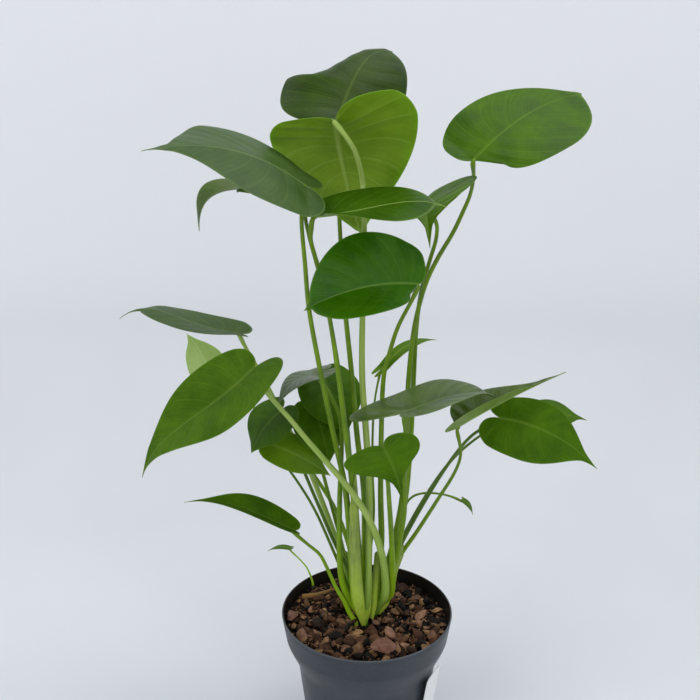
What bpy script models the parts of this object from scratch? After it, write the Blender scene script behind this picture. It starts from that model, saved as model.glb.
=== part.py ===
"""A young potted monstera: a nursery pot of bark mix with a clump of seedlings in it.

The frame's origin is the centre of the pot's underside, +Z is up and -Y is the front.
Tables are in millimetres and degrees; the model itself is in metres.
"""

import math
from dataclasses import dataclass

import bmesh
import bpy
from mathutils import Matrix, Vector
from mathutils.noise import noise

MM = 0.001

# Pot: a thin injection-moulded shell with a deep stacking shoulder.
POT_HEIGHT = 108.5
POT_RIM_RADIUS = 60.5
POT_WALL = 1.2
POT_FLOOR = 2.0
POT_SIDES = 48
WALL_HEIGHTS = (35.0, 60.0, 65.0, 68.0, 71.0, 74.5, 78.0, 82.0, 86.0, 90.0, 97.0)
SHOULDER_TOP_HEIGHT = 90.0
SHOULDER_TOP_RADIUS = 57.6
SHOULDER_FOOT_HEIGHT = 65.0
SHOULDER_FOOT_RADIUS = 48.8
SHOULDER_EASE = 0.5
POT_BASE_RADIUS = 41.2
POT_BASE_FILLET = 2.0
DRAIN_HOLES = 6
DRAIN_HOLE_RADIUS = 5.0
DRAIN_RING_RADIUS = 27.0
DRAIN_HOLE_SIDES = 16

# Bark mix inside the pot.
SOIL_LEVEL = 100.5
SOIL_HEAVE = 1.6
SOIL_HEAVE_LENGTH = 11.0
SOIL_RINGS = 7
LEVEL_CENTRE = (5.0, 12.0)
LEVEL_RADIUS = 24.0
LEVEL_FADE = 14.0

GAP = 0.4

# Blades and leaf stalks.
BLADE_THICKNESS = 0.6
BLADE_ROWS = (0.08, 0.15, 0.25, 0.34, 0.43, 0.55, 0.68, 0.79, 0.9)
BLADE_COLUMNS = 3
LOBE_END = 0.14
BELLY_END = 0.42
NECK_END = 0.9
LOBE_FOLLOW = 0.35
RIB_SPREAD = 1.5
ROW_SPREAD = 1.25
FURL_START = 0.3
STALK_SIDES_RESOLUTION = 1
STALK_STEPS = 2

# Crowns: the short swollen bases where the seedlings leave the bark mix.
CROWN_FOOT = SOIL_LEVEL + GAP
CROWN_TOP = 119.5
CROWN_SIDES = 16
CROWN_SHARES = (0.0, 0.3, 0.55, 0.8, 1.0)
CROWN_FLARE = 1.6

# Loose things on the bark mix, and the label that hangs from the pot's collar.
CHIP_CORNERS = 9
CHIP_WOBBLE = 0.22
CHIP_RINGS = ((0.86, 0.0), (1.0, 0.35), (0.97, 0.75), (0.8, 1.0))
ROOT_ENDS = ((-47, 22), (-22, 31))
ROOT_HEIGHT = 104.7
ROOT_RADIUS = 1.9
ROOT_TAPER = 0.35
ROOT_BEND = 1.4
ROOT_STEPS = 7
ROOT_SIDES = 8
LABEL_TOP = 74.0
LABEL_FOOT = 4.0
LABEL_WIDTH = 22.0
LABEL_THICKNESS = 0.5
LABEL_TOP_RADIUS = 53.0
LABEL_FOOT_RADIUS = 43.0
LABEL_TURN = -28.0


@dataclass(frozen=True)
class Leaf:
    """One heart-shaped blade: where its stalk joins it, where its tip ends, and its form."""

    name: str
    attach: tuple
    tip: tuple
    width: float
    roll: float = 0.0
    lobe: float = 0.20
    arch: float = 0.08
    bias: float = 1.0
    fold: float = 0.0
    cup: float = 0.0
    twist: float = 0.0
    sweep: float = 0.0
    skew: float = 0.0
    sinus: float = 0.38
    belly: float = 0.30
    full: float = 0.4
    drip: float = 0.08
    oblique: float = 0.0
    neck: float = 0.07
    uneven: float = 0.0
    furl: float = 0.0
    unfold: float = 0.0


@dataclass(frozen=True)
class Stalk:
    """One leaf stalk: its way points from the crown up to just under the blade."""

    name: str
    route: tuple
    foot_radius: float = 2.4
    top_radius: float = 1.2


@dataclass(frozen=True)
class Crown:
    """One seedling's base: the centres and radii of its foot and of its top."""

    name: str
    foot: tuple
    top: tuple
    foot_radius: float
    top_radius: float


@dataclass(frozen=True)
class Chip:
    """One large flake of bark that lies on the mix."""

    name: str
    centre: tuple
    length: float
    width: float
    thickness: float
    turn: float


LEAVES = (
    Leaf("leaf_01", (-38, -20, 416), (-132, -34, 439), 76, roll=-17, lobe=0.12, arch=0.12, fold=-9,
         belly=0.45, full=0.5, drip=0.14, oblique=0.2, neck=0.14, uneven=0.06),
    Leaf("leaf_02", (-21, 7, 451), (-5, 46, 371), 92, roll=-19, lobe=0.125, skew=0.07, sinus=0.72,
         arch=0.05, cup=-10, sweep=-0.045, belly=0.05, full=0.3, drip=0.03, uneven=0.1),
    Leaf("leaf_03", (-20, 36, 449), (17, 100, 484), 91, roll=30, lobe=0.12, skew=-0.03, arch=0.15,
         bias=1.4, cup=-50, sweep=-0.02, belly=0.25, full=0.9, drip=0.05, uneven=-0.055, furl=150),
    Leaf("leaf_04", (64, 10, 426), (139, 60, 461), 68, roll=30, lobe=-0.02, skew=-0.1, sinus=0.5, arch=0.08,
         belly=0.36, full=0.65, drip=0.03, oblique=0.18, uneven=0.08),
    Leaf("leaf_05", (-82, 20, 407), (-108, 15, 380), 27, roll=-10, arch=0.26, fold=20, neck=0.12),
    Leaf("leaf_06", (-35, -24, 398.3), (44, -42, 408), 60, roll=-2, lobe=-0.05, skew=-0.09, sinus=0.3,
         arch=0.06, bias=2.2, fold=22, twist=17, belly=0.5, full=0.8, oblique=0.08, uneven=-0.04,
         unfold=-34),
    Leaf("leaf_07", (35, 22, 397), (36, -28, 379), 67, roll=11, lobe=0.14, skew=-0.08, sinus=0.35, arch=0.1,
         fold=20, belly=0.05, full=0.0, drip=0.4, neck=0.1, uneven=-0.12),
    Leaf("leaf_08", (31, -10, 352), (-40, -35, 343), 65, roll=-37, lobe=-0.03, skew=0.14, sinus=0.5,
         arch=0.08, fold=24, belly=0.45, full=1.0, drip=0.06, oblique=-0.08, neck=0.1, uneven=0.06),
    Leaf("leaf_09", (-86, 30, 306), (-169, 40, 313), 39, lobe=0.08, arch=0.115, bias=2.4, fold=15, belly=0.4,
         full=0.9, drip=0.18, neck=0.14, unfold=-31),
    Leaf("leaf_10", (-73, -20, 300), (-142, -50, 238), 57, roll=-20, lobe=0.115, skew=-0.055, arch=0.08,
         bias=2.2, fold=8, full=0.45, drip=0.16, oblique=-0.04, neck=0.2),
    Leaf("leaf_11", (-114, 80, 250), (-131, 84, 287), 42, roll=-110, neck=0.12),
    Leaf("leaf_12", (-34.5, 12, 283), (-59, 0, 266), 40, roll=14, lobe=0.42, arch=0.22, neck=0.12),
    Leaf("leaf_13", (-31, 38, 272), (-14, 18, 236), 52, lobe=0.15, arch=0.05, neck=0.12),
    Leaf("leaf_14", (-58, 11, 258), (-78, -2, 232), 48, arch=0.1, neck=0.12),
    Leaf("leaf_15", (-66, 6, 235), (-25, 0, 214), 30, roll=28, lobe=0.12, arch=0.05, neck=0.12),
    Leaf("leaf_16", (-37, 28, 253), (-26, 8, 219), 40, lobe=0.15, arch=0.05, neck=0.12),
    Leaf("leaf_17", (23, -20, 270), (86, 10, 267), 47, roll=-4, lobe=0.3, skew=-0.2, arch=0.1, bias=1.4,
         fold=11, full=0.7, oblique=-0.12, neck=0.12),
    Leaf("leaf_18", (59, 5, 247), (136, 30, 278), 37, roll=-10, lobe=0.04, skew=0.06, arch=0.02, fold=38,
         belly=0.12, full=0.05, drip=0.2, neck=0.14),
    Leaf("leaf_19", (92, 30, 244), (158, 10, 214), 46, roll=50, lobe=0.13, arch=0.1, drip=0.15, neck=0.12,
         uneven=0.15),
    Leaf("leaf_20", (120, 70, 227), (164, 75, 222), 28, roll=30, lobe=0.1, drip=0.15, neck=0.12),
    Leaf("leaf_21", (9, -45, 256), (21, -58, 223), 52, roll=22, lobe=0.14, skew=-0.03, fold=14, cup=-12,
         belly=0.05, full=0.1, drip=0.42, neck=0.12, uneven=0.14),
    Leaf("leaf_22", (-50, -10, 178), (-123, -15, 202), 24, roll=-15, lobe=0.05, arch=0.09, bias=1.4, fold=30,
         drip=0.15, neck=0.12),
    Leaf("leaf_23", (-59, 70, 117), (-76, 75, 111), 7, arch=0.12, neck=0.12),
    Leaf("leaf_24", (70.5, 39, 174.5), (77.5, 39.5, 162.5), 7, roll=20, arch=0.12, neck=0.12),
    Leaf("leaf_25", (12, 65, 268), (52, 90, 280), 10, roll=20, arch=0.15, neck=0.12),
)

STALKS = (
    Stalk("leaf_01", ((-9, -8, 122), (-11, -7, 151), (-15, -8, 207), (-23.5, -9, 252), (-32, -11, 300),
                      (-37.5, -15, 337), (-39.5, -19, 368), (-41, -23, 397))),
    Stalk("leaf_02", ((0, -7.5, 122), (1, -6, 159), (1, -5, 206), (-1, -3, 243), (-4, -1, 286),
                      (-4, 2, 327), (-3, 6, 378), (-4, 4, 411), (-8, -1, 431), (-14, -2, 442)), 2.6, 1.5),
    Stalk("leaf_03", ((-2, 20, 122), (-2, 18, 188), (-7, 19, 234), (-11, 22, 281), (-15, 28, 320),
                      (-17, 37, 345), (-19, 46, 380), (-20, 47, 412), (-21, 43, 434))),
    Stalk("leaf_04", ((11, 11, 122), (17, 10.5, 146), (24, 9, 192), (26, 10, 237), (27, 13, 278),
                      (30, 12, 316), (36, 9, 345), (44, 16, 361), (54.5, 26, 376), (61, 32, 388),
                      (65.5, 32, 400), (66.5, 25, 413))),
    Stalk("leaf_05", ((-5.5, -3, 122), (-6, -6, 152), (-7.5, -6.5, 180), (-9.5, -6.5, 209), (-15, -11, 255),
                      (-19.5, -11, 295), (-24, -8, 324), (-28.5, -6, 348), (-32.5, -7, 364), (-36.5, -3.5, 378),
                      (-39, 0, 388), (-42, 4, 399), (-54, 10, 407), (-68, 16, 405)), 2.2, 1.1),
    Stalk("leaf_06", ((-4.5, -13, 122), (-7, -13.5, 151), (-9, -12.5, 180), (-10, -12, 209), (-15, -17, 255),
                      (-19.5, -17, 295), (-24, -13, 326), (-28.5, -12, 350), (-32, -14, 366),
                      (-35.5, -20.5, 382), (-35.5, -22.5, 389.5))),
    Stalk("leaf_07", ((13.5, 24, 122), (19, 24, 145), (27, 22, 185), (30, 22, 232), (31, 22, 273),
                      (32, 21, 312), (35, 21, 340), (40, 21, 360), (43.5, 21, 374), (43, 21, 385))),
    Stalk("leaf_08", ((7.5, 5, 122), (10, 5, 160), (9, 4, 200), (9, 3, 246), (10, 1, 285), (14, -1, 305),
                      (19, -4, 323), (27, -7, 341))),
    Stalk("leaf_09", ((-14, 20, 122), (-23, 20, 156), (-40, 28, 203), (-57, 33, 239), (-71, 35, 270),
                      (-82, 34, 292))),
    Stalk("leaf_10", ((13, -3, 122), (12.5, -4, 141), (8, -8.5, 166), (0, -13.5, 190), (-12, -18, 213),
                      (-27, -22, 235), (-41, -24, 254), (-50, -25, 267), (-62, -25, 282), (-69, -23, 292)),
          2.8, 1.5),
    Stalk("leaf_11", ((-8, 31, 122), (-24, 43, 168), (-56, 58, 210), (-90, 74, 240)), 1.8, 1.0),
    Stalk("leaf_12", ((-14.5, -3, 122), (-19, -3, 146), (-19, -1, 198), (-17.5, 1, 236), (-19, 4, 256),
                      (-24, 6, 268), (-29, 9, 276))),
    Stalk("leaf_13", ((-6, 24, 122), (-8, 28, 177), (-12, 33, 214), (-15, 39, 240), (-24, 42, 260)),
          1.9, 1.1),
    Stalk("leaf_14", ((-4, 5, 122), (-20, 10, 150), (-34, 14, 184), (-46, 19, 214), (-55, 20, 242)),
          1.7, 0.9),
    Stalk("leaf_15", ((-12, 3, 122), (-24, 2, 156), (-36, 3, 186), (-48, 4, 208), (-60, 5, 226)), 1.4, 0.8),
    Stalk("leaf_16", ((-13, 26, 122), (-20, 25, 156), (-28, 26, 190), (-35, 28, 221), (-37, 29, 245)),
          1.7, 1.0),
    Stalk("leaf_17", ((17.5, 6.5, 122), (21.5, 3.5, 154), (25, -4, 189), (24, -11, 224), (24, -17, 253),
                      (23, -19, 264))),
    Stalk("leaf_18", ((16.5, 13, 122), (22, 13, 141), (35, 11, 165), (48, 9, 190), (59, 7, 212), (63, 6, 226),
                      (62, 6, 236)), 1.9, 1.0),
    Stalk("leaf_19", ((17, 19, 122), (23, 22, 144), (38, 27, 174), (56, 30, 206), (72, 32, 228),
                      (86, 32, 238)), 1.8, 1.0),
    Stalk("leaf_20", ((19, 26, 122), (24, 31, 142), (40, 43, 170), (60, 52, 198), (84, 62, 216),
                      (108, 69, 224)), 1.5, 0.8),
    Stalk("leaf_21", ((17.5, 1, 122), (17.5, -5, 147), (16, -14, 177), (14, -24, 205), (12, -34, 230),
                      (9, -42, 248))),
    Stalk("leaf_22", ((-9, -6.5, 103), (-12.5, -6.3, 110), (-16, -6, 119), (-22, -5, 130.5), (-28.5, -5, 147),
                      (-33, -6, 157), (-41, -8, 166)), 1.8, 1.0),
    Stalk("leaf_23", ((-40, 38, 106.5), (-44, 45, 114), (-50, 56, 115), (-56, 66, 115)), 0.7, 0.5),
    Stalk("leaf_24", ((14.5, 30.5, 122), (20, 33, 150), (27.5, 34, 172), (33, 34.5, 180), (42, 35.5, 182.5),
                      (53, 37, 181), (62, 38, 178)), 1.2, 0.7),
    Stalk("leaf_25", ((1, 27, 122), (5, 30, 167), (4, 40, 203), (5, 52, 240), (9, 62, 262)), 1.2, 0.7),
)

CROWNS = (
    Crown("crown_1", (-1.5, -5), (-5.6, -3.3), 3.8, 8.8),
    Crown("crown_2", (-3, 17), (-7, 24), 4.6, 9.0),
    Crown("crown_3", (5.5, 8), (13, 4.5), 3.6, 8.8),
    Crown("crown_4", (11, 20), (16, 22.5), 3.8, 7.6),
)

CHIPS = (
    Chip("bark_chip_1", (11.5, -38), 20, 17, 8.0, -12),
    Chip("bark_chip_2", (-53, 0), 13, 8, 3.4, 70),
)


# --- Scene helpers -----------------------------------------------------------------------


def clear_scene():
    """Remove every object that the scene starts with."""
    for thing in list(bpy.data.objects):
        bpy.data.objects.remove(thing, do_unlink=True)


def material(name, colour, roughness, metallic=0.0):
    """A plain Principled material with the piece's colour and roughness."""
    made = bpy.data.materials.new(name)
    made.use_nodes = True
    shader = made.node_tree.nodes["Principled BSDF"]
    shader.inputs["Base Color"].default_value = (*colour, 1.0)
    shader.inputs["Roughness"].default_value = roughness
    shader.inputs["Metallic"].default_value = metallic
    return made


def link_mesh(name, mesh, finish):
    """Put a mesh into the scene as a named object with its own material."""
    piece = bpy.data.objects.new(name, mesh)
    mesh.materials.append(finish)
    bpy.context.scene.collection.objects.link(piece)
    return piece


def shade_round(mesh, angle=40.0):
    """Shade a mesh smooth, and keep edges sharper than the angle."""
    mesh.shade_smooth()
    mesh.set_sharp_from_angle(angle=math.radians(angle))


def bezier(points, t):
    """A point on a cubic Bezier arc."""
    a, b, c, d = points
    s = 1.0 - t
    return tuple(
        s * s * s * a[i] + 3 * s * s * t * b[i] + 3 * s * t * t * c[i] + t * t * t * d[i]
        for i in range(len(a))
    )


# --- Pot ----------------------------------------------------------------------------------


def wall_radius(height):
    """The pot's outer radius at a height: a tapered body, an S-shaped shoulder and a collar."""
    if height <= SHOULDER_FOOT_HEIGHT:
        share = height / SHOULDER_FOOT_HEIGHT
        return POT_BASE_RADIUS + share * (SHOULDER_FOOT_RADIUS - POT_BASE_RADIUS)
    if height >= SHOULDER_TOP_HEIGHT:
        share = (height - SHOULDER_TOP_HEIGHT) / (POT_HEIGHT - SHOULDER_TOP_HEIGHT)
        return SHOULDER_TOP_RADIUS + share * (POT_RIM_RADIUS - SHOULDER_TOP_RADIUS)
    share = (height - SHOULDER_FOOT_HEIGHT) / (SHOULDER_TOP_HEIGHT - SHOULDER_FOOT_HEIGHT)
    eased = share * share * (3.0 - 2.0 * share)
    share += SHOULDER_EASE * (eased - share)
    return SHOULDER_FOOT_RADIUS + share * (SHOULDER_TOP_RADIUS - SHOULDER_FOOT_RADIUS)


def turn(profile, sides):
    """Turn a profile of (radius, height) points round Z; radius 0 closes onto the axis."""
    shape = bmesh.new()
    rings = []
    for radius, height in profile:
        if radius == 0.0:
            rings.append([shape.verts.new((0.0, 0.0, height * MM))])
            continue
        ring = []
        for i in range(sides):
            angle = 2.0 * math.pi * i / sides
            ring.append(
                shape.verts.new(
                    (radius * math.cos(angle) * MM, radius * math.sin(angle) * MM, height * MM)
                )
            )
        rings.append(ring)
    for low, high in zip(rings, rings[1:]):
        for i in range(sides):
            j = (i + 1) % sides
            if len(low) == 1:
                shape.faces.new((low[0], high[j], high[i]))
            elif len(high) == 1:
                shape.faces.new((low[i], low[j], high[0]))
            else:
                shape.faces.new((low[i], low[j], high[j], high[i]))
    bmesh.ops.recalc_face_normals(shape, faces=shape.faces[:])
    return shape


def build_pot():
    """The pot's shell, with its drainage holes cut through the floor."""
    heights = (POT_BASE_FILLET, *WALL_HEIGHTS, POT_HEIGHT - POT_WALL / 2)
    outside = [(wall_radius(z), z) for z in heights]
    inside = [(wall_radius(z) - POT_WALL, z) for z in heights[1:]]
    profile = [(0.0, 0.0), (POT_BASE_RADIUS - POT_BASE_FILLET, 0.0)]
    profile += outside
    profile += [(POT_RIM_RADIUS - POT_WALL / 2, POT_HEIGHT)]
    profile += list(reversed(inside))
    profile += [(wall_radius(POT_FLOOR) - POT_WALL, POT_FLOOR), (0.0, POT_FLOOR)]
    shape = turn(profile, POT_SIDES)
    mesh = bpy.data.meshes.new("pot")
    shape.to_mesh(mesh)
    shape.free()
    shade_round(mesh)
    pot = link_mesh("pot", mesh, material("pot_plastic", (0.045, 0.055, 0.065), 0.5))
    holes = bmesh.new()
    for i in range(DRAIN_HOLES):
        angle = 2.0 * math.pi * (i + 0.5) / DRAIN_HOLES
        place = Vector((math.cos(angle), math.sin(angle), 0.0)) * DRAIN_RING_RADIUS * MM
        bmesh.ops.create_cone(
            holes,
            cap_ends=True,
            segments=DRAIN_HOLE_SIDES,
            radius1=DRAIN_HOLE_RADIUS * MM,
            radius2=DRAIN_HOLE_RADIUS * MM,
            depth=4.0 * POT_FLOOR * MM,
            matrix=Matrix.Translation(place),
        )
    cutter_mesh = bpy.data.meshes.new("drain_cutter")
    holes.to_mesh(cutter_mesh)
    holes.free()
    cutter = bpy.data.objects.new("drain_cutter", cutter_mesh)
    bpy.context.scene.collection.objects.link(cutter)
    cutter.hide_render = True
    cutter.display_type = "WIRE"
    cut = pot.modifiers.new("drainage", "BOOLEAN")
    cut.operation = "DIFFERENCE"
    cut.object = cutter
    return pot


# --- Soil ---------------------------------------------------------------------------------


def soil_height(x, y):
    """The bark mix's surface height above a point; it is level where the crowns stand."""
    away = math.hypot(x - LEVEL_CENTRE[0], y - LEVEL_CENTRE[1])
    share = min(max((away - LEVEL_RADIUS) / LEVEL_FADE, 0.0), 1.0)
    return SOIL_LEVEL + share * SOIL_HEAVE * noise(Vector((x, y, 0.0)) / SOIL_HEAVE_LENGTH)


def build_soil():
    """The bark mix: one plug that fills the pot up to a rough surface."""
    shape = bmesh.new()
    bottom = POT_FLOOR + GAP
    levels = (bottom, *WALL_HEIGHTS, SOIL_LEVEL)
    walls = []
    for height in levels:
        radius = wall_radius(height) - POT_WALL - GAP
        ring = []
        for i in range(POT_SIDES):
            angle = 2.0 * math.pi * i / POT_SIDES
            x = radius * math.cos(angle)
            y = radius * math.sin(angle)
            z = soil_height(x, y) if height == SOIL_LEVEL else height
            ring.append(shape.verts.new((x * MM, y * MM, z * MM)))
        walls.append(ring)
    for low, high in zip(walls, walls[1:]):
        for i in range(POT_SIDES):
            j = (i + 1) % POT_SIDES
            shape.faces.new((low[i], low[j], high[j], high[i]))
    shape.faces.new(list(reversed(walls[0])))
    outer = walls[-1]
    edge = wall_radius(SOIL_LEVEL) - POT_WALL - GAP
    for step in range(1, SOIL_RINGS):
        radius = edge * (1.0 - step / SOIL_RINGS)
        ring = []
        for i in range(POT_SIDES):
            angle = 2.0 * math.pi * i / POT_SIDES
            x = radius * math.cos(angle)
            y = radius * math.sin(angle)
            ring.append(shape.verts.new((x * MM, y * MM, soil_height(x, y) * MM)))
        for i in range(POT_SIDES):
            j = (i + 1) % POT_SIDES
            shape.faces.new((outer[i], outer[j], ring[j], ring[i]))
        outer = ring
    centre = shape.verts.new((0.0, 0.0, soil_height(0.0, 0.0) * MM))
    for i in range(POT_SIDES):
        shape.faces.new((outer[i], outer[(i + 1) % POT_SIDES], centre))
    bmesh.ops.recalc_face_normals(shape, faces=shape.faces[:])
    mesh = bpy.data.meshes.new("soil")
    shape.to_mesh(mesh)
    shape.free()
    return link_mesh("soil", mesh, material("bark_mix", (0.05, 0.03, 0.02), 0.95))


# --- Blades -------------------------------------------------------------------------------


def blade_edge(leaf, s, side):
    """The margin in the flat leaf, from the stalk (s=0) round the lobe to the tip (s=1).

    Returned as (across, along), with the blade's half width and its length as the units.
    """
    lobe = leaf.lobe + side * leaf.skew
    belly = leaf.belly + side * leaf.oblique
    full = leaf.full + 1.5 * side * leaf.oblique
    sinus = leaf.sinus
    neck = 1.0 - leaf.drip
    if s < LOBE_END:
        arc = ((0.0, 0.0), (0.1 * sinus, -0.6 * lobe), (0.4 * sinus, -lobe), (sinus, -lobe))
        if lobe < 0.0:
            arc = ((0.0, 0.0), (0.3 * sinus, -0.3 * lobe), (0.65 * sinus, -0.65 * lobe), (sinus, -lobe))
        return bezier(arc, s / LOBE_END)
    if s < BELLY_END:
        back = sinus + 0.55 * (1.0 - sinus)
        arc = ((sinus, -lobe), (back, -lobe), (1.0, belly - 0.55 * (belly + lobe)), (1.0, belly))
        return bezier(arc, (s - LOBE_END) / (BELLY_END - LOBE_END))
    if s < NECK_END:
        shoulder = (0.15 + 0.45 * full, neck - 0.22 + 0.2 * full)
        arc = ((1.0, belly), (1.0, belly + 0.5 * (neck - belly)), shoulder, (leaf.neck, neck))
        return bezier(arc, (s - BELLY_END) / (NECK_END - BELLY_END))
    waist = (0.45 * leaf.neck, neck + 0.4 * leaf.drip)
    arc = ((leaf.neck, neck), waist, (0.15 * leaf.neck, neck + 0.7 * leaf.drip), (0.0, 1.0))
    return bezier(arc, (s - NECK_END) / (1.0 - NECK_END))


def blade_frame(leaf):
    """The blade's own axes: along the chord, across to its right, and out of its upper face."""
    attach = Vector(leaf.attach)
    chord = Vector(leaf.tip) - attach
    length = chord.length
    along = chord.normalized()
    up = Vector((0.0, 0.0, 1.0))
    face = (up - along * up.dot(along)).normalized()
    across = along.cross(face)
    return attach, length, along, across, face


def blade_point(leaf, s, t):
    """A point of the blade's middle surface; t runs from -1 (left margin) over 0 (midrib) to 1."""
    attach, length, along, across, face = blade_frame(leaf)
    half = leaf.width / 2.0
    side = 1.0 if t >= 0.0 else -1.0
    edge_across, edge_along = blade_edge(leaf, s, side)
    rib = s ** RIB_SPREAD
    reach = abs(t)
    share = rib + (edge_along - rib) * reach ** ROW_SPREAD
    w = edge_across * half * (1.0 + side * leaf.uneven) * reach
    if share > 0.0:
        bent = share ** leaf.bias
        height = 4.0 * leaf.arch * length * bent * (1.0 - bent)
        shift = 4.0 * leaf.sweep * length * share * (1.0 - share)
    else:
        height = 4.0 * leaf.arch * length * share * LOBE_FOLLOW
        shift = 0.0
    opening = leaf.unfold * min(max(share, 0.0), 1.0)
    curl = leaf.cup * w / leaf.width
    if side < 0.0:
        late = min(max((share - FURL_START) / (1.0 - FURL_START), 0.0), 1.0)
        curl -= leaf.furl * late * w / half
    tilt = math.radians(leaf.fold + opening + curl)
    roll = math.radians(leaf.roll + leaf.twist * share)
    right = across * math.cos(roll) - face * math.sin(roll)
    out = face * math.cos(roll) + across * math.sin(roll)
    point = attach + along * (share * length) + across * shift + face * height
    return point + right * (side * w * math.cos(tilt)) + out * (w * math.sin(tilt))


def build_blade(leaf):
    """A thin closed blade from its two halves, joined along the midrib."""
    shape = bmesh.new()
    columns = [c / BLADE_COLUMNS for c in range(-BLADE_COLUMNS, BLADE_COLUMNS + 1)]
    root = shape.verts.new(blade_point(leaf, 0.0, 0.0) * MM)
    end = shape.verts.new(blade_point(leaf, 1.0, 0.0) * MM)
    rows = [[root] * len(columns)]
    for s in BLADE_ROWS:
        rows.append([shape.verts.new(blade_point(leaf, s, t) * MM) for t in columns])
    rows.append([end] * len(columns))
    for low, high in zip(rows, rows[1:]):
        for c in range(len(columns) - 1):
            corners = []
            for vert in (low[c], low[c + 1], high[c + 1], high[c]):
                if vert not in corners:
                    corners.append(vert)
            shape.faces.new(corners)
    mesh = bpy.data.meshes.new(leaf.name + "_blade")
    shape.to_mesh(mesh)
    shape.free()
    mesh.shade_smooth()
    blade = link_mesh(leaf.name + "_blade", mesh, material(leaf.name, (0.06, 0.14, 0.02), 0.4))
    skin = blade.modifiers.new("thickness", "SOLIDIFY")
    skin.thickness = BLADE_THICKNESS * MM
    skin.offset = 0.0
    return blade


# --- Stalks -------------------------------------------------------------------------------


def smooth_route(points, steps):
    """Points along a Catmull-Rom curve through the way points."""
    spots = [Vector(p) for p in points]
    padded = [spots[0] * 2.0 - spots[1]] + spots + [spots[-1] * 2.0 - spots[-2]]
    route = []
    for i in range(1, len(padded) - 2):
        a, b, c, d = padded[i - 1 : i + 3]
        for k in range(steps):
            t = k / steps
            route.append(
                0.5
                * (
                    2.0 * b
                    + (c - a) * t
                    + (2.0 * a - 5.0 * b + 4.0 * c - d) * t * t
                    + (3.0 * b - a - 3.0 * c + d) * t * t * t
                )
            )
    route.append(spots[-1])
    return route


def stalk_end(leaf, stalk):
    """The stalk's last way point: just under the place where its blade is attached."""
    attach, _, _, across, face = blade_frame(leaf)
    roll = math.radians(leaf.roll)
    out = face * math.cos(roll) + across * math.sin(roll)
    return attach - out * (BLADE_THICKNESS / 2.0 + stalk.top_radius + GAP)


def build_stalk(leaf, stalk):
    """A tapered stalk along a smooth route, which ends just under its blade."""
    route = smooth_route((*stalk.route, stalk_end(leaf, stalk)), STALK_STEPS)
    path = bpy.data.curves.new(stalk.name + "_stalk", "CURVE")
    path.dimensions = "3D"
    path.bevel_depth = MM
    path.bevel_resolution = STALK_SIDES_RESOLUTION
    path.resolution_u = 1
    path.use_fill_caps = True
    spline = path.splines.new("POLY")
    spline.points.add(len(route) - 1)
    for i, point in enumerate(route):
        share = i / (len(route) - 1)
        spline.points[i].co = (*(point * MM), 1.0)
        spline.points[i].radius = stalk.foot_radius + share * (stalk.top_radius - stalk.foot_radius)
    piece = bpy.data.objects.new(stalk.name + "_stalk", path)
    path.materials.append(material(stalk.name + "_stalk", (0.20, 0.34, 0.07), 0.45))
    bpy.context.scene.collection.objects.link(piece)
    return piece


# --- Crowns, bark, root and label -----------------------------------------------------------


def loft(name, rings, finish):
    """A closed solid through rings of equal count, capped at both ends; points in millimetres."""
    shape = bmesh.new()
    made = [[shape.verts.new(Vector(p) * MM) for p in ring] for ring in rings]
    count = len(made[0])
    for low, high in zip(made, made[1:]):
        for i in range(count):
            j = (i + 1) % count
            shape.faces.new((low[i], low[j], high[j], high[i]))
    shape.faces.new(list(reversed(made[0])))
    shape.faces.new(made[-1])
    bmesh.ops.recalc_face_normals(shape, faces=shape.faces[:])
    mesh = bpy.data.meshes.new(name)
    shape.to_mesh(mesh)
    shape.free()
    shade_round(mesh)
    return link_mesh(name, mesh, finish)


def build_crown(crown):
    """A short flaring base that leans from its foot to its top."""
    rings = []
    for share in CROWN_SHARES:
        height = CROWN_FOOT + share * (CROWN_TOP - CROWN_FOOT)
        x = crown.foot[0] + share * (crown.top[0] - crown.foot[0])
        y = crown.foot[1] + share * (crown.top[1] - crown.foot[1])
        flare = share ** CROWN_FLARE
        radius = crown.foot_radius + flare * (crown.top_radius - crown.foot_radius)
        ring = []
        for i in range(CROWN_SIDES):
            angle = 2.0 * math.pi * i / CROWN_SIDES
            ring.append((x + radius * math.cos(angle), y + radius * math.sin(angle), height))
        rings.append(ring)
    return loft(crown.name, rings, material(crown.name, (0.24, 0.42, 0.08), 0.4))


def build_chip(chip, seed):
    """A flake of bark: an uneven outline with two slightly different faces."""
    turn = math.radians(chip.turn)
    outline = []
    for i in range(CHIP_CORNERS):
        angle = 2.0 * math.pi * i / CHIP_CORNERS
        reach = 1.0 + CHIP_WOBBLE * noise(Vector((seed * 3.7, math.cos(angle), math.sin(angle))))
        u = math.cos(angle) * chip.length / 2.0 * reach
        v = math.sin(angle) * chip.width / 2.0 * reach
        outline.append((u, v))
    bottom = SOIL_LEVEL + SOIL_HEAVE * 0.7 + GAP
    rings = []
    for share, lift in CHIP_RINGS:
        ring = []
        for u, v in outline:
            x = chip.centre[0] + share * (u * math.cos(turn) - v * math.sin(turn))
            y = chip.centre[1] + share * (u * math.sin(turn) + v * math.cos(turn))
            ring.append((x, y, bottom + lift * chip.thickness))
        rings.append(ring)
    return loft(chip.name, rings, material(chip.name, (0.16, 0.09, 0.06), 0.85))


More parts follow.
